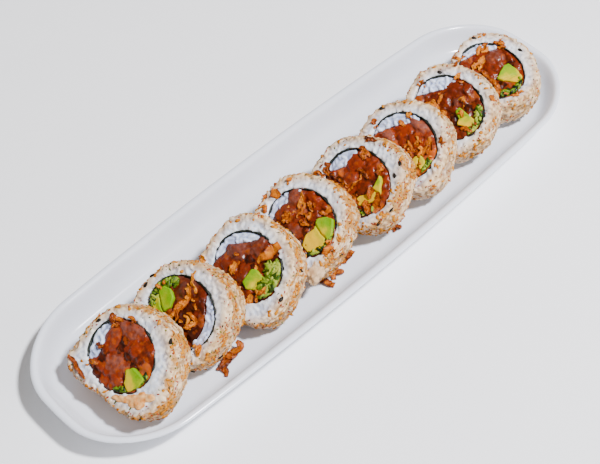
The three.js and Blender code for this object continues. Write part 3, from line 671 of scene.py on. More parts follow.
def bead(length, width, height, bend=0.0, around=8, along=7, point=0.0):
    """A closed drop-like shape along X, in metres."""
    points, faces = [(-length / 2 * MM, 0, 0)], []
    for i in range(1, along):
        t = i / along
        x = -math.cos(math.pi * t)
        r = math.sqrt(max(1 - x * x, 0)) * (1 - point * x)
        for k in range(around):
            a = math.tau * k / around
            points.append((length / 2 * x * MM, (width / 2 * r * math.cos(a) + bend * x * x) * MM,
                           height / 2 * r * math.sin(a) * MM))
    points.append((length / 2 * MM, 0, 0))
    for k in range(around):
        faces.append((0, 1 + (k + 1) % around, 1 + k))
        for i in range(along - 2):
            a, b = 1 + i * around + k, 1 + i * around + (k + 1) % around
            faces.append((a, b, b + around, a + around))
        last = 1 + (along - 2) * around
        faces.append((last + k, last + (k + 1) % around, len(points) - 1))
    return points, faces

grains = bpy.data.collections.new("rice_grains")
for i, (length, width, bend) in enumerate([(6.2, 2.6, 0.5), (5.6, 2.8, 0.2), (5.9, 2.5, -0.4)]):
    small_shape(grains, f"grain_{i}", *bead(length, width, 2.3, bend))
flakes = bpy.data.collections.new("flakes")
for i, (length, width) in enumerate([(1.9, 1.4), (1.5, 1.5), (2.6, 1.2)]):
    small_shape(flakes, f"flake_{i}", *bead(length, width, 0.7, 0.2, 5, 3, 0.3))
seeds = bpy.data.collections.new("seeds")
small_shape(seeds, "seed_0", *bead(3.0, 1.8, 0.9, 0.0, 8, 6, 0.35))

# %% [markdown]
# ## Soft solids from outlines
# A layer of food is a prism through the piece, but no food has flat sides. The prism is drawn from
# its outline, joined with lumps where it has them, and remeshed into small even voxels, which
# melts the shapes together. Then its surface is pushed in and out by noise.

# %% Prisms and remeshing
# voxel of each skin in millimetres, small where the layer has small forms
VOXEL = {"rice_bed": 0.7, "rice": 0.46, "flap_bed": 0.5, "flap": 0.36, "tuna": 0.52,
         "avocado": 0.34, "sauce": 0.4}

def prism(outline, levels, holes=()):
    """Rings of one outline at (height, inset) levels, with straight holes; millimetres."""
    outline = np.asarray(outline, float)
    middle = outline.mean(0)
    reach = np.hypot(*(outline - middle).T)
    rings = []
    for z, inset in levels:
        ring = middle + (outline - middle) * ((reach - inset) / reach)[:, None]
        rings.append(np.column_stack((ring, np.full(len(ring), z))))
    points, faces = loft(rings, False, False)
    points = points.tolist()
    low_loops = [list(range(len(outline)))]
    high_loops = [list(range(len(points) - len(outline), len(points)))]
    for hole in holes:
        start, count = len(points), len(hole)
        points += [(x, y, z) for z in (levels[0][0], levels[-1][0]) for x, y in hole]
        for i in range(count):
            a, b = start + i, start + (i + 1) % count
            faces.append((b, a, a + count, b + count))
        low_loops.append(list(range(start, start + count)))
        high_loops.append(list(range(start + count, start + 2 * count)))
    for loops, flip in ((low_loops, True), (high_loops, False)):
        flat = [i for loop in loops for i in loop]
        for tri in tessellate_polygon([[Vector(points[i]) for i in loop] for loop in loops]):
            a, b, c = (Vector(points[flat[i]]) for i in tri)
            up = (b - a).cross(c - a).z > 0
            faces.append(tuple(flat[i] for i in (tri if up != flip else tri[::-1])))
    return points, faces

def lump(centre, sizes, turn, rng, rings=6, sides=10):
    """A rounded uneven lump of half sizes; millimetres."""
    points, faces = bead(2, 2, 2, 0, sides, rings)
    points = np.array(points) / MM
    points *= 1 + 0.16 * rng.standard_normal((len(points), 1)).clip(-1.5, 1.5)
    c, s = math.cos(turn), math.sin(turn)
    points = points * np.array(sizes)
    points = points @ np.array(((c, s, 0), (-s, c, 0), (0, 0, 1))) + np.array(centre)
    return points.tolist(), faces

def join_shapes(shapes):
    points, faces = [], []
    for more, cells in shapes:
        base = len(points)
        points += list(more)
        faces += [tuple(base + i for i in cell) for cell in cells]
    return points, faces

def melt(name, p, shapes, voxel, soften):
    """One skin round all the shapes, on the plate, softened."""
    points, faces = join_shapes(shapes)
    made = mesh_object(name, to_plate(p, points), faces)
    remesh(made, voxel, soften)
    made.data.shade_smooth()
    return made

def push(made, p, size, depth, seed):
    """Uneven surface: noise of size and depth along the normals; millimetres."""
    points = points_of(made.data)
    flat = to_piece(p, points)
    amount = rough(flat, size, seed) * depth * MM
    set_points(made.data, points + normals_of(made.data) * amount[:, None])

print("soft solids ready")

# %% [markdown]
# ## Outer rice
# The rice round an uramaki is pressed in a mat, so its grains lie flat and hold together. The cut
# face is smoother than the side, because the knife slices the grains through. So a bed of melted
# rice comes first, with real grains spread over it, and those that reach past the cut face are
# pressed back to it.

# %% Rice beds and grains
def ragged(angle, p, seed, amount):
    """A torn edge: short irregular teeth round the loop, in millimetres."""
    ring = ring_of(angle, 3.0 * p["number"])
    return amount * (0.6 * rough(ring, 1.3, seed) + 0.6 * rough(ring, 3.1, seed + 4))

def rice_bed(p):
    a = np.linspace(0, math.tau, 160, endpoint=False)
    r = rice_radius(p, a) - 0.1
    outline = np.column_stack((r * np.cos(a), r * np.sin(a)))
    torn = (0.15 + np.clip(ragged(a, p, 2.0, 1.2), -0.2, 0.9)) * nori_shown(p, a)
    hole = loop_point(p, np.degrees(a), -torn)
    levels = [(-THICK + 0.4, 2.0), (-THICK + 1.4, 0.7), (-THICK + 3, 0.1), (-THICK / 2, -0.2),
              (-3, 0.1), (-1.4, 0.4), (-0.35, 1.4)]
    points, faces = prism(outline, levels, [hole])
    return mesh_object(f"bed_{p['number']}", to_plate(p, points), faces)

FACE, BACK, PRESSED = 0.15, -THICK + 0.1, 0.5

def press_to_faces(p, flat):
    """Rice cut by the knife: what stands out of either face is pressed back, and off the nori."""
    for beyond, level in ((flat[:, 2] > FACE, FACE), (flat[:, 2] < BACK, BACK)):
        flat[beyond, 2] = level + (flat[beyond, 2] - level) * PRESSED
    a, r = about_loop(p, flat)
    shown = nori_shown(p, a)
    torn = np.clip(ragged(a, p, 5.0, 3.4), 0, 1.3) + 0.5 * (1 - shown)
    wall = loop_radius(p, a) + 0.35 * shown - np.where(flat[:, 2] > -0.9, torn, 0)
    within = r < wall
    set_about_loop(p, flat, within, a[within], wall[within])
    return flat

def join_meshes(name, meshes, finish):
    whole = bmesh.new()
    for mesh in meshes:
        whole.from_mesh(mesh)
    joined = bpy.data.meshes.new(name)
    whole.to_mesh(joined)
    whole.free()
    made = bpy.data.objects.new(name, joined)
    bpy.context.scene.collection.objects.link(made)
    joined.materials.clear()
    joined.materials.append(finish)
    joined.polygons.foreach_set("material_index", np.zeros(len(joined.polygons), int))
    joined.shade_smooth()
    return made

def grain_tones(mesh, points):
    """Each point takes the tone of the grain nearest to it."""
    source = points_of(mesh)[::6]
    tone = np.zeros(len(mesh.vertices))
    mesh.attributes["tone"].data.foreach_get("value", tone)
    tone = tone[::6]
    tree = KDTree(len(source))
    for i, q in enumerate(source):
        tree.insert(q, i)
    tree.balance()
    return tone[[tree.find(q)[1] for q in points]]

def rice_tone_and_shade(mesh, spread):
    """Tone of the nearest grain, with painted shade in creases and painted light on grain tops."""
    # painted shade: a point deep in a crease gets a darker tone, and a point on a grain's top a
    # lighter one
    crease_shade_top_light = np.clip(hollow(mesh, 8), -0.2, 0.35)
    return grain_tones(spread, points_of(mesh)) - 2.6 * crease_shade_top_light

def outer_depth(p, flat):
    a = np.arctan2(flat[:, 1], flat[:, 0])
    return rice_radius(p, a) - np.hypot(flat[:, 0], flat[:, 1])

def facing_out(p, mesh, flat):
    """1 on the round side of the piece, 0 on its cut faces."""
    normal = normals_of(mesh) @ p["turn"].T
    a = np.arctan2(flat[:, 1], flat[:, 0])
    outward = normal[:, 0] * np.cos(a) + normal[:, 1] * np.sin(a)
    return np.clip((outward - 0.1) / 0.5, 0, 1) * (outer_depth(p, flat) < 3.0)

def spice_share(p, mesh, flat):
    """How much seasoning a point of the rice carries: the side most, the cut face little."""
    side = facing_out(p, mesh, flat)
    depth = outer_depth(p, flat)
    rim = 0.45 * np.clip(1 - depth / 4.5, 0, 1)
    patch = 0.72 + 1.6 * rough(flat, 6.0, 3.0 + p["number"])
    return np.clip(np.maximum(side, rim) * patch, 0.12 * side, 1.4) * p["spice"]

for p in PIECES:
    bed = rice_bed(p)
    remesh(bed, VOXEL["rice_bed"], 0)
    flat = to_piece(p, points_of(bed.data))
    a, r = about_loop(p, flat)
    set_values(bed.data, cover=r - loop_radius(p, a) > 1.0)
    mesh = spread_on(bed, grains, rice_white, spacing=1.9, tilt=0.25, sizes=(0.75, 1.0),
                     seed=p["number"], sink=0.4)
    whole = join_meshes(f"roll_{p['number']}_rice", [bed.data, mesh], rice_white)
    bpy.data.objects.remove(bed)
    remesh(whole, VOXEL["rice"], 1)
    push(whole, p, 1.7, 0.18, 30 + p["number"])
    # no piece is pressed quite round
    push(whole, p, 7.0, 0.6, 50 + p["number"])
    flat = to_piece(p, points_of(whole.data))
    set_points(whole.data, to_plate(p, press_to_faces(p, flat)))
    whole.data.shade_smooth()
    warm = np.clip(1.15 - outer_depth(p, flat) / 5.0, 0, 1)
    # painted shade: the rice on the round side of the piece gets a darker tone than on the cut
    # face, besides the painted crease shade
    set_values(whole.data,
               tone=rice_tone_and_shade(whole.data, mesh) - 0.25 * facing_out(p, whole.data, flat),
               warm=np.clip(warm + 0.35 * rough(flat, 5.0, 9.0), 0, 1),
               spice=spice_share(p, whole.data, flat))
    p["rice"] = whole
    p["layers"].append(whole)
    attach(whole, "root")
    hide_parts(f"roll_{p['number']}_rice_outer")
    print("rice", p["number"], len(whole.data.polygons), "faces")

# %% [markdown]
# ## Nori
# A nori sheet is thin, about 0.3 mm once it is moist, and it buckles a little as it wraps. It is
# drawn as a wall that follows the loop, with an edge that rises and falls along the cut.

# %% Nori walls
def nori_wall(p):
    inner, around, outer = nori_line(p)
    line = np.vstack((inner, around, outer))
    count = len(line)
    step = np.gradient(line, axis=0)
    side = np.column_stack((-step[:, 1], step[:, 0])) / np.hypot(*step.T)[:, None]
    spot = np.column_stack((line, np.full(count, 5.0 * p["number"])))
    wave = rough(spot, 2.2, 1.0)
    fine = rough(spot, 1.1, 6.0)
    middle = line + side * (0.16 * wave)[:, None]
    half = np.maximum(0.15 + 0.16 * wave + 0.1 * fine, 0.08)
    angle = about_loop(p, line)[0]
    # painted shade in part: on these arcs the nori is drawn wider, so that it also stands for the
    # shade in the crease beside it
    half = half + 0.22 * nori_thick_with_shade(p, angle)
    rise = -0.05 + 0.3 * fine + 0.2 * rough(spot, 4.0, 8.0) - 1.6 * (1 - nori_shown(p, angle))
    # under the flap the filling is pressed over the nori's inner turn
    rise[:len(inner)] = -1.5
    ease = np.linspace(0, 1, 8)
    rise[len(inner):len(inner) + 8] = -1.5 + ease * (1.5 + rise[len(inner) + 8])
    rings = []
    for z, wide in [(-THICK + 0.15, 0.8), (-THICK + 0.6, 1), (-THICK / 2, 1), (-2.4, 1), (0, 0.8)]:
        height = rise if z == 0 else np.full(count, z)
        reach = side * (half * wide)[:, None]
        rings.append(np.vstack((np.column_stack((middle + reach, height)),
                                np.column_stack((middle - reach, height))[::-1])))
    points, faces = loft(rings, False, False)
    total = 2 * count
    last = (len(rings) - 1) * total
    for i in range(count - 1):
        j = total - 1 - i
        faces.append((i, j, j - 1, i + 1))
        faces.append((last + i, last + i + 1, last + j - 1, last + j))
    made = mesh_object(f"roll_{p['number']}_nori_sheet", to_plate(p, points), faces)
    whole = bmesh.new()
    whole.from_mesh(made.data)
    bmesh.ops.recalc_face_normals(whole, faces=whole.faces)
    whole.to_mesh(made.data)
    whole.free()
    made.data.materials.append(seaweed)
    return made

for p in PIECES:
    wall = nori_wall(p)
    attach(wall, "root")
    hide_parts(f"roll_{p['number']}_nori")
print("nori walls", len(PIECES))

# %% [markdown]
# ## The tucked flap of rice
# Where the roll was closed, a tongue of rice was caught between two turns of nori. It has no
# seasoning on it, so it is whiter than the outer rice, and its cooler blue is painted shade.

# %% Flaps
CLEAR = 0.45

def flap_outline(p):
    start, span = p["flap"][:2]
    v = np.linspace(0.0, 0.97, 26)
    outer = loop_point(p, start + span * v, CLEAR)
    inner = loop_point(p, start + span * v, np.maximum(flap_lift(p, v) + 0.1, CLEAR + 0.3))
    return np.vstack((outer, inner[::-1]))

def press_to_flap(p, flat):
    """Rice of the flap stays inside the outer turn of nori and under the cut face."""
    start, span = p["flap"][:2]
    a, r = about_loop(p, flat)
    turned = (np.degrees(a) - start) * np.sign(span)
    v = np.clip(((turned + 60) % 360 - 60) / abs(span), 0.0, 0.98)
    angle = np.radians(start + span * v)
    wall = loop_radius(p, angle)
    torn = ragged(angle, p, 7.0, 0.5)
    r = np.minimum(r, wall - CLEAR + np.minimum(torn, 0.1))
    r = np.maximum(r, wall - np.maximum(flap_lift(p, v) + 0.35 + torn, 0.8))
    set_about_loop(p, flat, slice(None), angle, r)
    flat[:, 2] = np.minimum(flat[:, 2], -0.1 + 0.55 * (flat[:, 2] + 0.1))
    flat[:, 2] = np.maximum(flat[:, 2], -THICK + 0.2)
    return flat

for p in PIECES:
    shape = prism(flap_outline(p), [(-THICK + 0.4, 0), (-0.9, 0)])
    bed = melt(f"flap_bed_{p['number']}", p, [shape], VOXEL["flap_bed"], 1)
    flat = to_piece(p, points_of(bed.data))
    set_values(bed.data, cover=(flat[:, 2] > -1.2) | (flat[:, 2] < 1.2 - THICK))
    mesh = spread_on(bed, grains, flap_rice_painted_shade, spacing=2.1, tilt=0.3, sizes=(0.6, 0.85),
                     seed=40 + p["number"], sink=0.1)
    whole = join_meshes(f"roll_{p['number']}_flap", [bed.data, mesh], flap_rice_painted_shade)
    bpy.data.objects.remove(bed)
    p["layers"].append(whole)
    remesh(whole, VOXEL["flap"], 1)
    flat = to_piece(p, points_of(whole.data))
    set_points(whole.data, to_plate(p, press_to_flap(p, flat)))
    whole.data.shade_smooth()
    # the tone carries painted shade in the creases and painted light on the grain tops
    set_values(whole.data, tone=rice_tone_and_shade(whole.data, mesh), warm=0, spice=0)
    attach(whole, "root")
    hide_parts(f"roll_{p['number']}_rice_flap")
print("flaps", len(PIECES))

# %% [markdown]
# ## Spicy tuna
# The fish is chopped into scraps of 5 to 12 mm and dressed, so the filling is lumps pressed
# together with creases between them. Lumps are set over the cut face, melted into the body of the
# filling, and each scrap keeps a tone of its own.

# %% Tuna
def inside(outline, x, y):
    x0, y0 = outline.T
    x1, y1 = np.roll(x0, -1), np.roll(y0, -1)
    crossing = (y0 > y) != (y1 > y)
    with np.errstate(divide="ignore", invalid="ignore"):
        at = (x1 - x0) * (y - y0) / (y1 - y0) + x0
    return bool((crossing & (x < at)).sum() % 2)

def fill_outline(p):
    start, span = p["flap"][:2]
    v = np.linspace(0, 1, 30, endpoint=False)
    inner = loop_point(p, start + span * v, flap_lift(p, v) + 0.3)
    rest = math.copysign(360 - abs(span), span)
    around = loop_point(p, start + span + rest * np.linspace(0, 1, 70, endpoint=False), 0.3)
    outline = np.vstack((inner, around))
    return outline if span > 0 else outline[::-1]

TRIES = 900

def spots(outline, spacing, rng, edge):
    """Evenly spread random places inside an outline, clear of its edge."""
    found = []
    low, high = outline.min(0), outline.max(0)
    middle = outline.mean(0)
    for _ in range(TRIES):
        q = rng.uniform(low, high)
        pushed = middle + (q - middle) * (1 + edge / max(np.hypot(*(q - middle)), 1e-6))
        if not inside(outline, *pushed):
            continue
        if all(math.hypot(*(q - other)) > spacing for other in found):
            found.append(q)
    return found

CHUNKS = {
    1: [(-5, 11, 6.5, 3.6, 15, 0.62), (-11, 3.6, 4, 5.2, 10, 0.55), (1.5, 6.4, 5.2, 4, -20, 0.42),
        (-3.4, -5.6, 6, 4.6, 20, 0.66), (8, 9, 4, 4.4, 40, 0.3), (3, -10, 4.2, 3, 10, 0.5)],
    2: [(-4, 9.6, 5.4, 4.2, 10, 0.62), (5, 8, 3.6, 4.4, 0, 0.25), (2, -2, 3.4, 4.6, 20, 0.2),
        (8, -2, 3, 4.6, 0, 0.3)],
    3: [(-9, 2.4, 5.6, 4.4, 20, 0.66), (-1.4, 9.4, 3.6, 5.6, -10, 0.6),
        (-7, -5.4, 6, 3.4, 0, 0.45), (1, -4, 2.8, 5, 0, 0.5), (3.6, 11, 2.6, 3.4, 0, 0.3)],
    4: [(-9.6, 8, 4.4, 5.4, 0, 0.6), (0, 12.6, 6, 2.8, 0, 0.4), (-10, -1, 3.4, 4.6, 0, 0.55),
        (1, -4, 4.4, 4, 0, 0.58), (4, 6, 3, 3.6, 0, 0.3)],
    5: [(-5, 6, 5.4, 5, 0, 0.42), (3, 9, 4.6, 4.4, 0, 0.36), (-2, -2, 5, 4, 0, 0.5),
        (6, 1, 3.6, 4, 0, 0.3)],
    6: [(1, 13, 6, 2.6, 0, 0.66), (-4, 7, 4.8, 4, 20, 0.4), (5, 6.6, 4.8, 3.8, 0, 0.34),
        (-8, 0, 3.6, 2.6, 0, 0.7)],
    7: [(-3, 10.6, 5, 3.8, 20, 0.38), (4, 7.4, 4.2, 3.6, 0, 0.6), (-5, 2, 5, 4, 20, 0.35),
        (3, 13, 4, 1.8, -10, 0.5), (-1, -4, 5, 2.6, 0, 0.4)],
    8: [(-5.4, 7, 5.4, 4.4, 20, 0.58), (0, 0.4, 5, 3.8, 0, 0.36), (-1, 12, 4.6, 1.8, 0, 0.3),
        (6, -4.6, 6, 2.6, 0, 0.45)],
}

TUNA_TONES = [0.15, 0.3, 0.4, 0.5, 0.85]

def tuna_filling(p):
    rng = p["rng"]
    chunks = CHUNKS[p["number"]]
    outline = fill_outline(p)
    shapes = [prism(outline, [(-THICK + 0.9, 0.4), (-THICK + 1.6, 0), (-1.5, 0), (-0.8, 0.3)])]
    for x, y, a, b, turn, _ in chunks:
        shapes.append(lump((x, y, -1.2), (a, b, 1.9), math.radians(turn), rng))
    places = [chunk[:4] for chunk in chunks]
    tones = [chunk[5] for chunk in chunks]
    for x, y in spots(outline, 3.3, rng, 1.6):
        size = rng.uniform(1.5, 2.9)
        shapes.append(lump((x, y, -1.0 + rng.uniform(-0.3, 0.15)),
                           (size, size * rng.uniform(0.6, 1), 1.2), rng.uniform(0, 3.14), rng))
        shapes.append(lump((x, y, -THICK + 1.6), (2.8, 2.2, 1.4), rng.uniform(0, 3.14), rng))
        if all(math.hypot((x - c[0]) / c[2], (y - c[1]) / c[3]) > 0.9 for c in chunks):
            places.append((x, y, size, size))
            tones.append(rng.choice(TUNA_TONES))
    made = melt(f"roll_{p['number']}_tuna_mix", p, shapes, VOXEL["tuna"], 2)
    push(made, p, 1.3, 0.16, p["number"])
    push(made, p, 3.0, 0.3, 20 + p["number"])
    flat = to_piece(p, points_of(made.data))
    spot = np.array(places)
    wander = np.column_stack((rough(flat, 2.0, 1.0), rough(flat, 2.0, 5.0))) * 1.2
    away = (flat[:, None, :2] + wander[:, None] - spot[None, :, :2]) / spot[None, :, 2:]
    tone = np.array(tones)[np.argmin((away ** 2).sum(-1), axis=1)]
    # painted shade: the filling gets a darker tone in the creases between scraps and a slightly
    # lighter one on their tops
    crease_shade_top_light = np.clip(hollow(made.data, 10), -0.15, 0.4)
    set_values(made.data, tone=tone + 0.08 * rough(flat, 1.2, 2.0) - 0.4 * crease_shade_top_light,
               flesh=p["flesh"])
    made.data.materials.append(tuna)
    return made

for p in PIECES:
    made = tuna_filling(p)
    p["layers"].append(made)
    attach(made, "root")
    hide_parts(f"roll_{p['number']}_tuna")
    print("tuna", p["number"], len(made.data.polygons), "faces")

# %% [markdown]
# ## Avocado
# A slice or a cube of avocado shows a soft edge, a slightly hollow cut and a run from green, under
# the skin, to yellow. The run is stored on the mesh along the direction each slice was cut.

# %% Avocado slices
def clip_to_loop(p, flat, clear):
    """What reaches past the nori is brought back inside it, clear by so much."""
    a, r = about_loop(p, flat)
    wall = loop_radius(p, a) - clear
    over = r > wall
    set_about_loop(p, flat, over, a[over], wall[over])
    return flat

def rounded(corners, cut):
    """Each corner of an outline cut off once, so that it reads as soft flesh."""
    corners = np.asarray(corners, float)
    after = np.roll(corners, -1, 0)
    pair = np.stack((corners + (after - corners) * cut, after - (after - corners) * cut), 1)
    return pair.reshape(-1, 2)

def avocado_slice(p):
    levels = [(-THICK + 0.1, 0.6), (-THICK + 0.6, 0.1), (-THICK / 2, 0), (0.2, 0), (0.95, 0.05),
              (1.15, 0.3)]
    corners = np.array(p["avocado"])
    shape = prism(rounded(corners, 0.08), levels)
    made = melt(f"roll_{p['number']}_avocado_slice", p, [shape], VOXEL["avocado"], 0)
    push(made, p, 3.0, 0.22, 5 + p["number"])
    flat = clip_to_loop(p, to_piece(p, points_of(made.data)), 0.7)
    # the knife never leaves a level cut: tip the top a little
    turn, split, reach, crack = p["ripe"]
    direction = math.radians(turn)
    middle = corners.mean(0)
    along = ((flat[:, 0] - middle[0]) * math.cos(direction)
             + (flat[:, 1] - middle[1]) * math.sin(direction))
    top = flat[:, 2] > -2
    flat[top, 2] += 0.07 * along[top] * np.clip((flat[top, 2] + 2) / 3, 0, 1)
    # soft flesh cracks across, and the part below the crack sits a little lower
    line = along + 0.9 * rough(flat, 3.5, 6.0) - crack
    flat[top, 2] -= 0.75 * np.exp(-(line[top] / 0.5) ** 2) + np.where(line[top] < 0, 0.4, 0)
    set_points(made.data, to_plate(p, flat))
    tone = split + along / reach * 0.55 + 0.12 * rough(flat, 3.0, 2.0)
    set_values(made.data, tone=np.clip(tone, 0, 1))
    made.data.materials.append(avocado)
    return made

for p in PIECES:
    made = avocado_slice(p)
    p["layers"].append(made)
    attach(made, "root")
    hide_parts(f"roll_{p['number']}_avocado")
print("avocado slices", len(PIECES))

# %% [markdown]
# ## Chopped greens
# Spring onion and cucumber lie along the nori as small wet scraps, each with its own green. They
# are real lumps, dark and pale mixed, over a thin backing that runs through the piece.

# %% Greens
def sector_outline(p):
    start, span, thick = p["greens"]
    angle = start + span * np.linspace(0, 1, 16)
    return np.vstack((loop_point(p, angle, 0.75), loop_point(p, angle, thick + 0.8)[::-1]))

GREEN_TONES = [0.02, 0.12, 0.3, 0.5, 0.65, 0.8, 0.95]

def greens_scraps(p):
    rng = p["rng"]
    start, span, thick = p["greens"]
    shapes = [prism(sector_outline(p), [(-THICK + 0.3, 0), (-0.5, 0)])]
    tones = [np.full(len(shapes[0][0]), 0.15)]
    size = 0.7 + 0.17 * thick
    for _ in range(int(abs(span) * 0.5 * thick ** 0.8)):
        angle = start + span * rng.uniform(0.02, 0.98)
        x, y = loop_point(p, angle, 0.9 + thick * rng.uniform(0.05, 1.0))
        shape = lump((x, y, rng.uniform(-0.5, 0.35)),
                     (size * rng.uniform(0.9, 1.9), size * rng.uniform(0.45, 0.75),
                      rng.uniform(0.6, 1.0)), rng.uniform(0, 3.14), rng, 5, 8)
        shapes.append(shape)
        tone = rng.choice(GREEN_TONES) + p.get("leaf", 0)
        tones.append(np.full(len(shape[0]), min(max(tone, 0), 1)))
    points, faces = join_shapes(shapes)
    flat = clip_to_loop(p, np.array(points, float), 0.65)
    made = mesh_object(f"roll_{p['number']}_green_scraps", to_plate(p, flat), faces)
    set_values(made.data, tone=np.concatenate(tones))
    made.data.materials.append(greens)
    return made

for p in PIECES:
    made = greens_scraps(p)
    p["layers"].append(made)
    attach(made, "root")
    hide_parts(f"roll_{p['number']}_greens")
print("greens", len(PIECES))

# %% [markdown]
# ## Fried onion
# Shreds of onion shrink, curl and blister in hot oil. Each is a thin strap bent along its own
# line, with a ragged edge. Where they lie was read off each cut face: start, end, bend and width.

# %% Onion straps
ONION = {
    1: [(-23.5, -15.4, -11.0, -18.2, 0.1, 1.5), (-13.8, -11.6, -9.6, -9.2, 0.4, 1.6),
        (-18, 10.8, -12, 8.4, 0.6, 1.9), (-16, 11.8, -11, 11, -0.5, 1.5),
        (-13.5, 9.5, -13.2, 6.6, 0.3, 1.2), (-15.5, -3.6, -12, -2.4, 0.4, 1.5),
        (-13.4, -4.2, -12.2, -2, 0.2, 1.2), (-9.5, 15.2, -4.6, 15.4, 0.4, 1.3)],
    2: [(-5.4, 17, 1.4, 11, -0.5, 1.5), (-3.6, 12, -0.4, 9.6, 0.3, 1.6),
        (-2.2, 11.6, 0.2, -4, 1.2, 2.3), (0.4, 6, 1, -4.4, -0.8, 1.1),
        (4, 1.6, 10.2, 2.6, 0.8, 1.2), (7, -2.8, 11, 0.4, -0.8, 1.3), (5, 7.4, 7, 6.2, 0.2, 1.0),
        (3.4, 0.4, 9.6, -1.4, 0.9, 1.1), (8.6, 2.6, 10.6, -2.4, 0.6, 1.1),
        (17.6, -5, 21, -8.6, 0.6, 1.9), (19, -4.6, 19.6, -8.8, -0.4, 1.6),
        (-16.4, 2, -13, 3, 0.4, 1.0)],
    3: [(7.6, 17.0, 3.0, 4.4, 0.2, 4.8), (-6.5, -2.4, -2.8, -6.2, 0.5, 2.3),
        (-4.8, -0.6, -4, -6, 0.3, 1.3), (14.6, -3, 13.2, -7.4, 0.3, 1.7),
        (15.8, -4.2, 14.4, -1.6, 0.2, 1.2), (9.4, -9.6, 12.6, -11.4, 0.2, 2.4),
        (3.4, 2.4, 5.2, 2, 0.2, 1.4), (-22.6, -11.4, -18.8, -9.8, 0.4, 1.8)],
    4: [(-8.6, 12, -3.4, 6, 0.9, 1.5), (-5, 9, -0.6, 5, 0.8, 1.3), (-1.4, 4.4, 4.4, 3, 1, 1.2),
        (0.6, 2.2, 5, 1.2, -0.8, 1.2), (-3.4, 6.8, -1, 1.6, 0.8, 1.1),
        (6.4, 15.4, 9.4, 10.8, 0.4, 2.1), (8.6, 12, 5.4, 9.6, 0.4, 1.4),
        (-8.2, 0.8, -5.6, -4.4, 0.1, 3.6), (-5.4, 0.6, -3.8, -3.2, 0.3, 2.0),
        (20.4, 1.6, 20.8, -3.6, 0.3, 2.3), (-20.2, 5.4, -17.0, 2.0, 0.1, 3.2),
        (-20.4, -5, -16.2, -5, 0.6, 1.3), (-17.6, 13.6, -16.4, 12.6, 0.1, 2.0),
        (-23, 0, -22, -1.6, 0.1, 1.5), (-2, 10.6, 2.6, 8.6, 0.7, 1.1),
        (1.6, 6.6, 4.6, 5, 0.5, 1.1)],
    5: [(-9.4, 13.2, -3.4, 12, 0.8, 1.9), (-6.6, 14.6, -2.2, 13, -0.4, 1.6),
        (-5, 12.6, -3, 10.4, 0.3, 1.4), (5.4, 13, 9, 10.4, 0.5, 1.7),
        (7.6, 12.4, 6.4, 9.8, 0.3, 1.3), (-1.6, 5.4, 4.6, 5.8, 0.7, 1.2),
        (0.6, 4.6, 1.8, -6.4, 0.7, 1.3), (14, 3.4, 19, -5, 0.6, 2.9),
        (12, -3, 16.8, -7.2, -0.6, 2.4), (8.4, 2.6, 13, -1, 0.6, 2.0),
        (-9, -5.4, -1, -3.2, 0.9, 1.5), (-5.6, -6.8, -0.6, -5.8, 0.5, 1.4),
        (3, -6.4, 9.4, -6, 0.7, 1.5), (-18.6, -3.6, -13.2, -4.2, 0.6, 2.1),
        (-17.4, -6.4, -13, -5.6, 0.5, 1.8), (-13, -6.6, -9, -4.4, 0.5, 1.3),
        (-20, -10.4, -14.6, -7.6, 0.5, 1.3), (-10, 18.2, -4.6, 21.2, 0.5, 1.4)],
    6: [(9.4, 12, 13.2, 3.2, 0.8, 2.1), (11.6, 11.4, 14.4, 5, 0.4, 1.5),
        (1.2, 1.6, 8.8, 3.4, 0.6, 1.6), (4, 8.4, 7.4, 5.8, 0.6, 1.2),
        (-8.6, 8.4, -4.6, 9.8, 0.5, 1.5), (8.2, 5.4, 12.4, 2.4, 0.6, 1.4),
        (-7.8, 13.4, -6.4, 16, 0.1, 2.2), (-20, 2.8, -18.4, 0.2, 0.1, 1.9),
        (14.4, 15.4, 16.4, 13, 0.1, 1.9), (-17.8, -7.8, -11.4, -4, 0.4, 1.3),
        (13, -3.6, 17.6, -4.4, 0.4, 1.8), (1.6, 4.4, 5.2, 1.2, 0.5, 1.2)],
    7: [(-9.4, -2, -2.4, -1.4, 0.7, 1.8), (-8.6, 0.2, -6, -3, 0.3, 1.3),
        (-7, 4.8, -4.4, 0.6, 0.5, 1.3), (-19.8, 5.6, -19.2, 3.4, 0.1, 2.2),
        (-5.6, 18.8, -4.8, 14.8, 0.2, 1.5), (15, 17, 17.8, 16.4, 0.3, 1.6),
        (-2, -2, 3.4, -2.6, 0.5, 1.5), (12.6, -4, 17.8, -1.4, 0.5, 1.6),
        (7, 3, 10, 1.8, 0.4, 1.2), (2.6, 7.4, 6, 8.8, 0.5, 1.2),
        (-11.6, -3.6, -6, -3.2, 0.4, 1.4), (-11.4, 22, -8.8, 20.6, 0.3, 1.6)],
    8: [(-12.6, 12.6, -6.4, 14.6, 0.5, 1.9), (-11.4, 14, -7.4, 15.6, -0.4, 1.6),
        (-9, 12, -6, 15.4, 0.3, 1.4), (-14.8, 9.8, -13, 3, 0.5, 2.1),
        (-12.6, 8.6, -11.4, 4, 0.4, 1.6), (-15.4, 6.4, -12.6, 1.4, -0.4, 1.6),
        (-10, 3.2, -6, -4.6, 0.7, 1.8), (-8, 1.6, -4, -4, 0.5, 1.6),
        (-9.8, -3, -6.6, -5.6, 0.4, 1.5), (-3, -5, 6.4, -3.8, 0.8, 1.6),
        (4, -4.4, 12, -3.6, 0.6, 1.5), (10, -5.2, 15.4, -6.8, 0.5, 1.5),
        (-17.8, -6.6, -16, -8.6, 0.1, 1.9), (20.2, 1, 20.8, -2.2, 0.1, 1.5),
        (-20.4, 12.6, -19.6, 11.4, 0.1, 1.4)],
}

STRAP_ACROSS = np.linspace(-1, 1, 6)
NARROW = 2.4

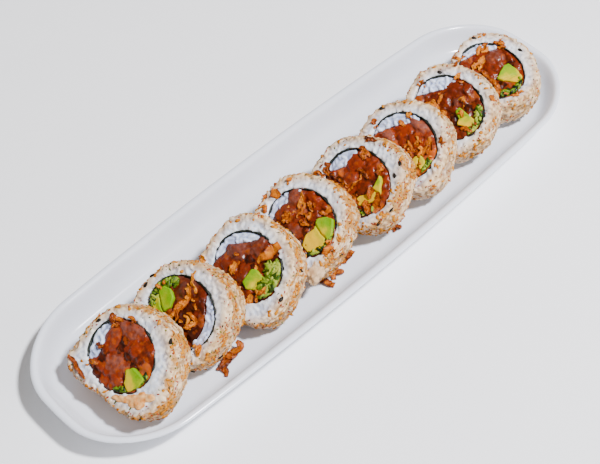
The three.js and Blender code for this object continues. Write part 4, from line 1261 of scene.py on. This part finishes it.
def strap(path, width, thick, rng):
    """A dried shred: a thin trough that follows a path, curled and torn along its edges."""
    path = np.asarray(path, float)
    count = len(path)
    along = np.gradient(path, axis=0)
    along /= np.linalg.norm(along, axis=1)[:, None]
    across = np.cross(along, (0, 0, 1.0))
    across /= np.maximum(np.linalg.norm(across, axis=1), 1e-6)[:, None]
    above = np.cross(across, along)
    t = np.linspace(0, 1, count)
    swell = np.sin(np.pi * np.clip(t, 0.08, 0.92)) ** 0.4 * (1 - 0.55 * t * (width > 5))
    knots = np.linspace(0, 1, 7)
    left = 1 + 0.35 * np.interp(t, knots, rng.uniform(-1, 1, 7))
    right = 1 + 0.35 * np.interp(t, knots, rng.uniform(-1, 1, 7))
    # a broad leaf of onion stays flatter than a narrow shred
    bend = min(1.0, NARROW / width)
    twist = bend * np.interp(t, np.linspace(0, 1, 4), rng.uniform(-0.7, 0.7, 4))
    curl = bend * np.interp(t, np.linspace(0, 1, 4), rng.uniform(-0.5, 0.9, 4))
    u = STRAP_ACROSS
    rings = []
    for i in range(count):
        c, s = math.cos(twist[i]), math.sin(twist[i])
        side, lift = across[i] * c + above[i] * s, above[i] * c - across[i] * s
        half = width / 2 * swell[i]
        reach = np.where(u < 0, u * left[i], u * right[i]) * half
        height = curl[i] * half * u ** 2 + rng.uniform(-0.12, 0.12, 6) * min(width, NARROW) * bend
        deep = thick / 2 * (1 - 0.6 * u ** 2) + 0.06
        spine = path[i] + side * reach[:, None]
        rings.append(np.vstack((spine + lift * (height + deep)[:, None],
                                (spine + lift * (height - deep)[:, None])[::-1])))
    return loft(rings)

def onion_path(x0, y0, x1, y1, bend, rng):
    size = max(math.hypot(x1 - x0, y1 - y0), 0.5)
    count = max(7, int(size * 1.7))
    t = np.linspace(0, 1, count)
    sway = bend * np.sin(np.pi * t * 1.6) + 0.22 * np.sin(t * size * 1.2 + rng.uniform(0, 6))
    x = x0 + (x1 - x0) * t - (y1 - y0) / size * sway
    y = y0 + (y1 - y0) * t + (x1 - x0) / size * sway
    z = 0.45 * np.sin(np.pi * t) + 0.25 * np.sin(t * size * 0.9 + rng.uniform(0, 6))
    return np.column_stack((x, y, z))

def surface_of(p):
    """One tree of all the layers of a piece, to lay things on."""
    points, faces = [], []
    for made in p["layers"]:
        base = len(points)
        points += [v.co.copy() for v in made.data.vertices]
        faces += [[base + i for i in f.vertices] for f in made.data.polygons]
    return BVHTree.FromPolygons(points, faces)

DROP_FROM, DROP_REACH = 7.0, 22.0

def height_at(p, x, y, missed):
    """How high the piece's surface lies at a place on its cut face; millimetres."""
    start = Vector(to_plate(p, (x, y, DROP_FROM)))
    hit = p["surface"].ray_cast(start, Vector(-p["turn"][2]), DROP_REACH * MM)[0]
    return float(to_piece(p, hit)[2]) if hit else missed

def lay_on(p, path, lift):
    """Drop a path onto the piece, along the normal of its cut face."""
    laid = np.array(path, float)
    for q in laid:
        q[2] += lift + height_at(p, q[0], q[1], -1.0)
    # a shred is stiff: it bridges the hollows
    laid[1:-1, 2] = np.maximum(laid[1:-1, 2], (laid[:-2, 2] + laid[2:, 2]) / 2)
    return laid

def shred(p, path, lift, width, thick):
    points, faces = strap(lay_on(p, path, lift), width, thick, p["rng"])
    return to_plate(p, points) / MM, faces

def onion_piece(name, shapes, tones):
    points, faces = join_shapes(shapes)
    made = mesh_object(name, np.array(points) * MM, faces, smooth=False)
    values = np.concatenate([np.full(len(s[0]), tone) for s, tone in zip(shapes, tones)])
    # the thin edges of a shred brown first
    edge = np.abs(np.concatenate((STRAP_ACROSS, STRAP_ACROSS[::-1]))) ** 3
    values = values + 0.3 * rough(points, 1.2, 3.0) - 0.4 * np.resize(edge, len(values))
    set_values(made.data, tone=values)
    made.data.materials.append(fried)
    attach(made, "root")
    return made

# how far the onion of a piece is browned: 0 dark, 1 golden
BROWNED = {1: (0.1, 0.5), 2: (0.55, 0.95), 3: (0.5, 0.9), 4: (0.3, 0.85), 5: (0.1, 0.55),
           6: (0.3, 0.9), 7: (0.3, 0.9), 8: (0.3, 0.9)}
CRUMBS = {1: 2, 2: 10, 3: 5, 4: 20, 5: 26, 6: 18, 7: 16, 8: 16}
for p in PIECES:
    rng = p["rng"]
    p["surface"] = surface_of(p)
    shapes, tones = [], []
    listed = ONION[p["number"]]
    for x0, y0, x1, y1, bend, width in listed:
        path = onion_path(x0, y0, x1, y1, bend, rng)
        shapes.append(shred(p, path, 0.25, width * 1.5, 0.4))
        tones.append(rng.uniform(*BROWNED[p["number"]]))
    for _ in range(CRUMBS[p["number"]]):
        x0, y0, x1, y1 = listed[rng.integers(len(listed))][:4]
        share = rng.uniform(0, 1)
        x = x0 + (x1 - x0) * share + rng.normal(0, 1.7)
        y = y0 + (y1 - y0) * share + rng.normal(0, 1.7)
        angle, size = rng.uniform(0, 6.28), rng.uniform(0.9, 2.4)
        path = onion_path(x, y, x + size * math.cos(angle), y + size * math.sin(angle),
                          rng.uniform(-0.4, 0.4), rng)
        shapes.append(shred(p, path, 0.2, rng.uniform(0.7, 1.5), 0.35))
        tones.append(rng.uniform(*BROWNED[p["number"]]))
    onion_piece(f"roll_{p['number']}_fried_onion", shapes, tones)
print("onion straps", sum(len(v) for v in ONION.values()), "and crumbs", sum(CRUMBS.values()))

# %% Onion on the plate
DROPPED = {
    "loose_onion_1": [(-77.5, -25.4, 12, -82.5, -29, 7.4, 2.6, 3.2),
        (-80, -27, 8.6, -87, -26.4, 8, 2, 2.6), (-83, -26.5, 8, -91.5, -29.5, 7.2, 1.2, 2.4),
        (-86, -27, 7.6, -92, -33, 6.8, -1, 2.6), (-82, -24.6, 8.2, -88.6, -28.6, 7, -1.4, 2.0)],
    "loose_onion_2": [(-9.2, -27.4, 6.8, -1.6, -24.4, 7.6, 0.8, 3.4),
        (-7, -25.4, 8.2, -2.4, -25.6, 7.2, -0.6, 2.2)],
    "loose_onion_3": [(-25, -26.6, 7, -21, -32.6, 6.9, 0.6, 3.2),
        (-24, -29, 7.8, -21.6, -31.4, 7.2, -0.6, 1.8)],
    "loose_onion_4": [(22.2, -31.4, 6.9, 26.6, -30.2, 7, 0.6, 2.2),
        (23.6, -29.8, 7.4, 26, -31.6, 7.1, 0.4, 1.6)],
    "loose_onion_5": [(-19.4, -30, 6.9, -12.4, -28.2, 7, 1.0, 2.8),
        (-16, -29, 7.8, -12.8, -29.4, 7.2, -0.6, 1.8)],
}
for name, straps in DROPPED.items():
    rng = np.random.default_rng(int(name[-1]))
    shapes, tones = [], []
    for x0, y0, z0, x1, y1, z1, bend, width in straps:
        path = onion_path(x0, y0, x1, y1, bend, rng)
        path[:, 2] += np.linspace(z0, z1, len(path))
        shapes.append(strap(path, width * 1.2, 0.5, rng))
        tones.append(rng.uniform(0.05, 0.5))
    made = onion_piece(name + "_shreds", shapes, tones)
    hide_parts(name)
print("dropped onion", len(DROPPED))

# %% [markdown]
# ## Sauce and squeezed-out rice
# A streak of spicy mayonnaise ran down the first piece, and a lump of plain rice was squeezed out
# between the third and the fourth. Both are soft: a few rounded lumps, melted together.

# %% Sauce and the rice lump
first, fourth = PIECES[0], PIECES[3]
rng = np.random.default_rng(5)
DROPS = [(7, -15.2, 1.4), (9.6, -14.2, 1.8), (12.2, -12.4, 2.0), (14.6, -10.4, 2.1),
         (17.2, -8.2, 2.3), (19.6, -6.6, 2.1), (21.6, -4.8, 1.7), (15.6, -12.6, 1.8),
         (18.6, -11, 1.9), (16.4, -6.4, 1.3)]
drops = [lump((x, y, height_at(first, x, y, -1.5)), (size * 1.3, size * 0.95, 1.3),
              math.radians(35), rng) for x, y, size in DROPS]
smear = melt("mayonnaise_smear", first, drops, VOXEL["sauce"], 6)
push(smear, first, 1.8, 0.35, 3.0)
smear.data.materials.append(mayo)
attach(smear, "root")
CLUMP = [((21.2, -12.7, -2.6), (3.8, 5.0, 3.2), -0.5), ((19.6, -9.8, -1.4), (2.4, 2.4, 2.0), 0.3),
         ((22.6, -15.6, -3.0), (2.6, 2.8, 2.4), 0.2), ((19.4, -14.6, -1.8), (2.2, 2.4, 2.2), 0.2)]
clump = [lump(*row, rng) for row in CLUMP]
plain = melt("squeezed_rice_lump", fourth, clump, VOXEL["sauce"], 2)
push(plain, fourth, 2.2, 0.35, 8.0)
set_values(plain.data, tone=0.55, warm=0.95, spice=0)
plain.data.materials.append(rice_white)
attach(plain, "root")
print("smear and lump", len(smear.data.polygons), len(plain.data.polygons))

# %% [markdown]
# ## Seasoning
# The roll was turned in a chilli and sesame seasoning before it was cut, so the side carries most
# of it and the cut face only strays. The flakes are spread on the grains themselves, where these
# face outwards.

# %% Seasoning on the rice
def seasoning(name, shapes, finish, spacing, share, sizes, seed, power):
    meshes = []
    for p in PIECES:
        host = bpy.data.objects.new("host", p["rice"].data.copy())
        bpy.context.scene.collection.objects.link(host)
        spice = np.zeros(len(host.data.vertices))
        host.data.attributes["spice"].data.foreach_get("value", spice)
        set_values(host.data, cover=np.clip(spice, 0, 1.2) ** power + 0.02)
        meshes.append(spread_on(host, shapes, finish, spacing, tilt=0.35, sizes=sizes,
                                seed=seed + p["number"], share=share))
        bpy.data.objects.remove(host)
    made = join_meshes(name, meshes, finish)
    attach(made, "root")
    print(name, len(made.data.polygons), "faces")

# name, shapes, finish, spacing, share, sizes, seed, how strongly it keeps to the seasoned side
for row in [("orange_flakes", flakes, chilli, 1.4, 0.42, (0.6, 1.5), 200, 1.0),
            ("red_flakes", flakes, chilli_red, 1.15, 0.26, (0.35, 0.7), 250, 0.6),
            ("green_flakes", flakes, herb, 1.3, 0.2, (0.35, 0.75), 300, 0.8),
            ("black_specks", flakes, sesame_black, 1.5, 0.15, (0.3, 0.6), 350, 0.8),
            ("black_sesame_seeds", seeds, sesame_black, 8.0, 0.25, (0.85, 1.0), 400, 2.0)]:
    seasoning(*row)

# %% [markdown]
# The larger seeds that show on the cut faces lie where they lie in the picture: each is set on the
# rice where the line of sight through its place meets it.

# %% Sesame on the faces
SESAME = {1: [(13.7, 19, 130)], 2: [(-21.5, 4, 60), (-21.5, -1, 90)],
          3: [(23.6, -1.3, 90), (23.4, 13.9, 60)],
          5: [(12.7, 20.3, 150), (14.8, 14.3, 150), (24.6, 1.7, 80), (24, -7.2, 120)],
          6: [(-20.3, 8.9, 40)], 7: [(-14.3, 13.8, 20), (-22.6, -5, 90)],
          8: [(0.8, 19, 10), (-21.8, 7.2, 40)]}
SIGHT_FROM, SIGHT_REACH = 30, 80
shapes = []
for number, places in SESAME.items():
    p = PIECES[number - 1]
    for x, y, turn in places:
        target = Vector(to_plate(p, (x, y, 0)))
        hit, normal = p["surface"].ray_cast(target + back * SIGHT_FROM * MM, -back,
                                            SIGHT_REACH * MM)[:2]
        if hit is None:
            continue
        lie = math.radians(turn)
        across = Vector(p["turn"][0]) * math.cos(lie) + Vector(p["turn"][1]) * math.sin(lie)
        across = (across - normal * across.dot(normal)).normalized()
        frame_of = Matrix((across, normal.cross(across), normal)).transposed()
        points, faces = bead(3.1, 1.7, 1.0, 0.0, 8, 6, 0.35)
        shapes.append(([tuple((frame_of @ Vector(q) + hit) / MM) for q in points], faces))
points, faces = join_shapes(shapes)
placed_seeds = mesh_object("sesame_on_faces", np.array(points) * MM, faces)
placed_seeds.data.materials.append(sesame_black)
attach(placed_seeds, "root")
print("seeds on faces", len(shapes))
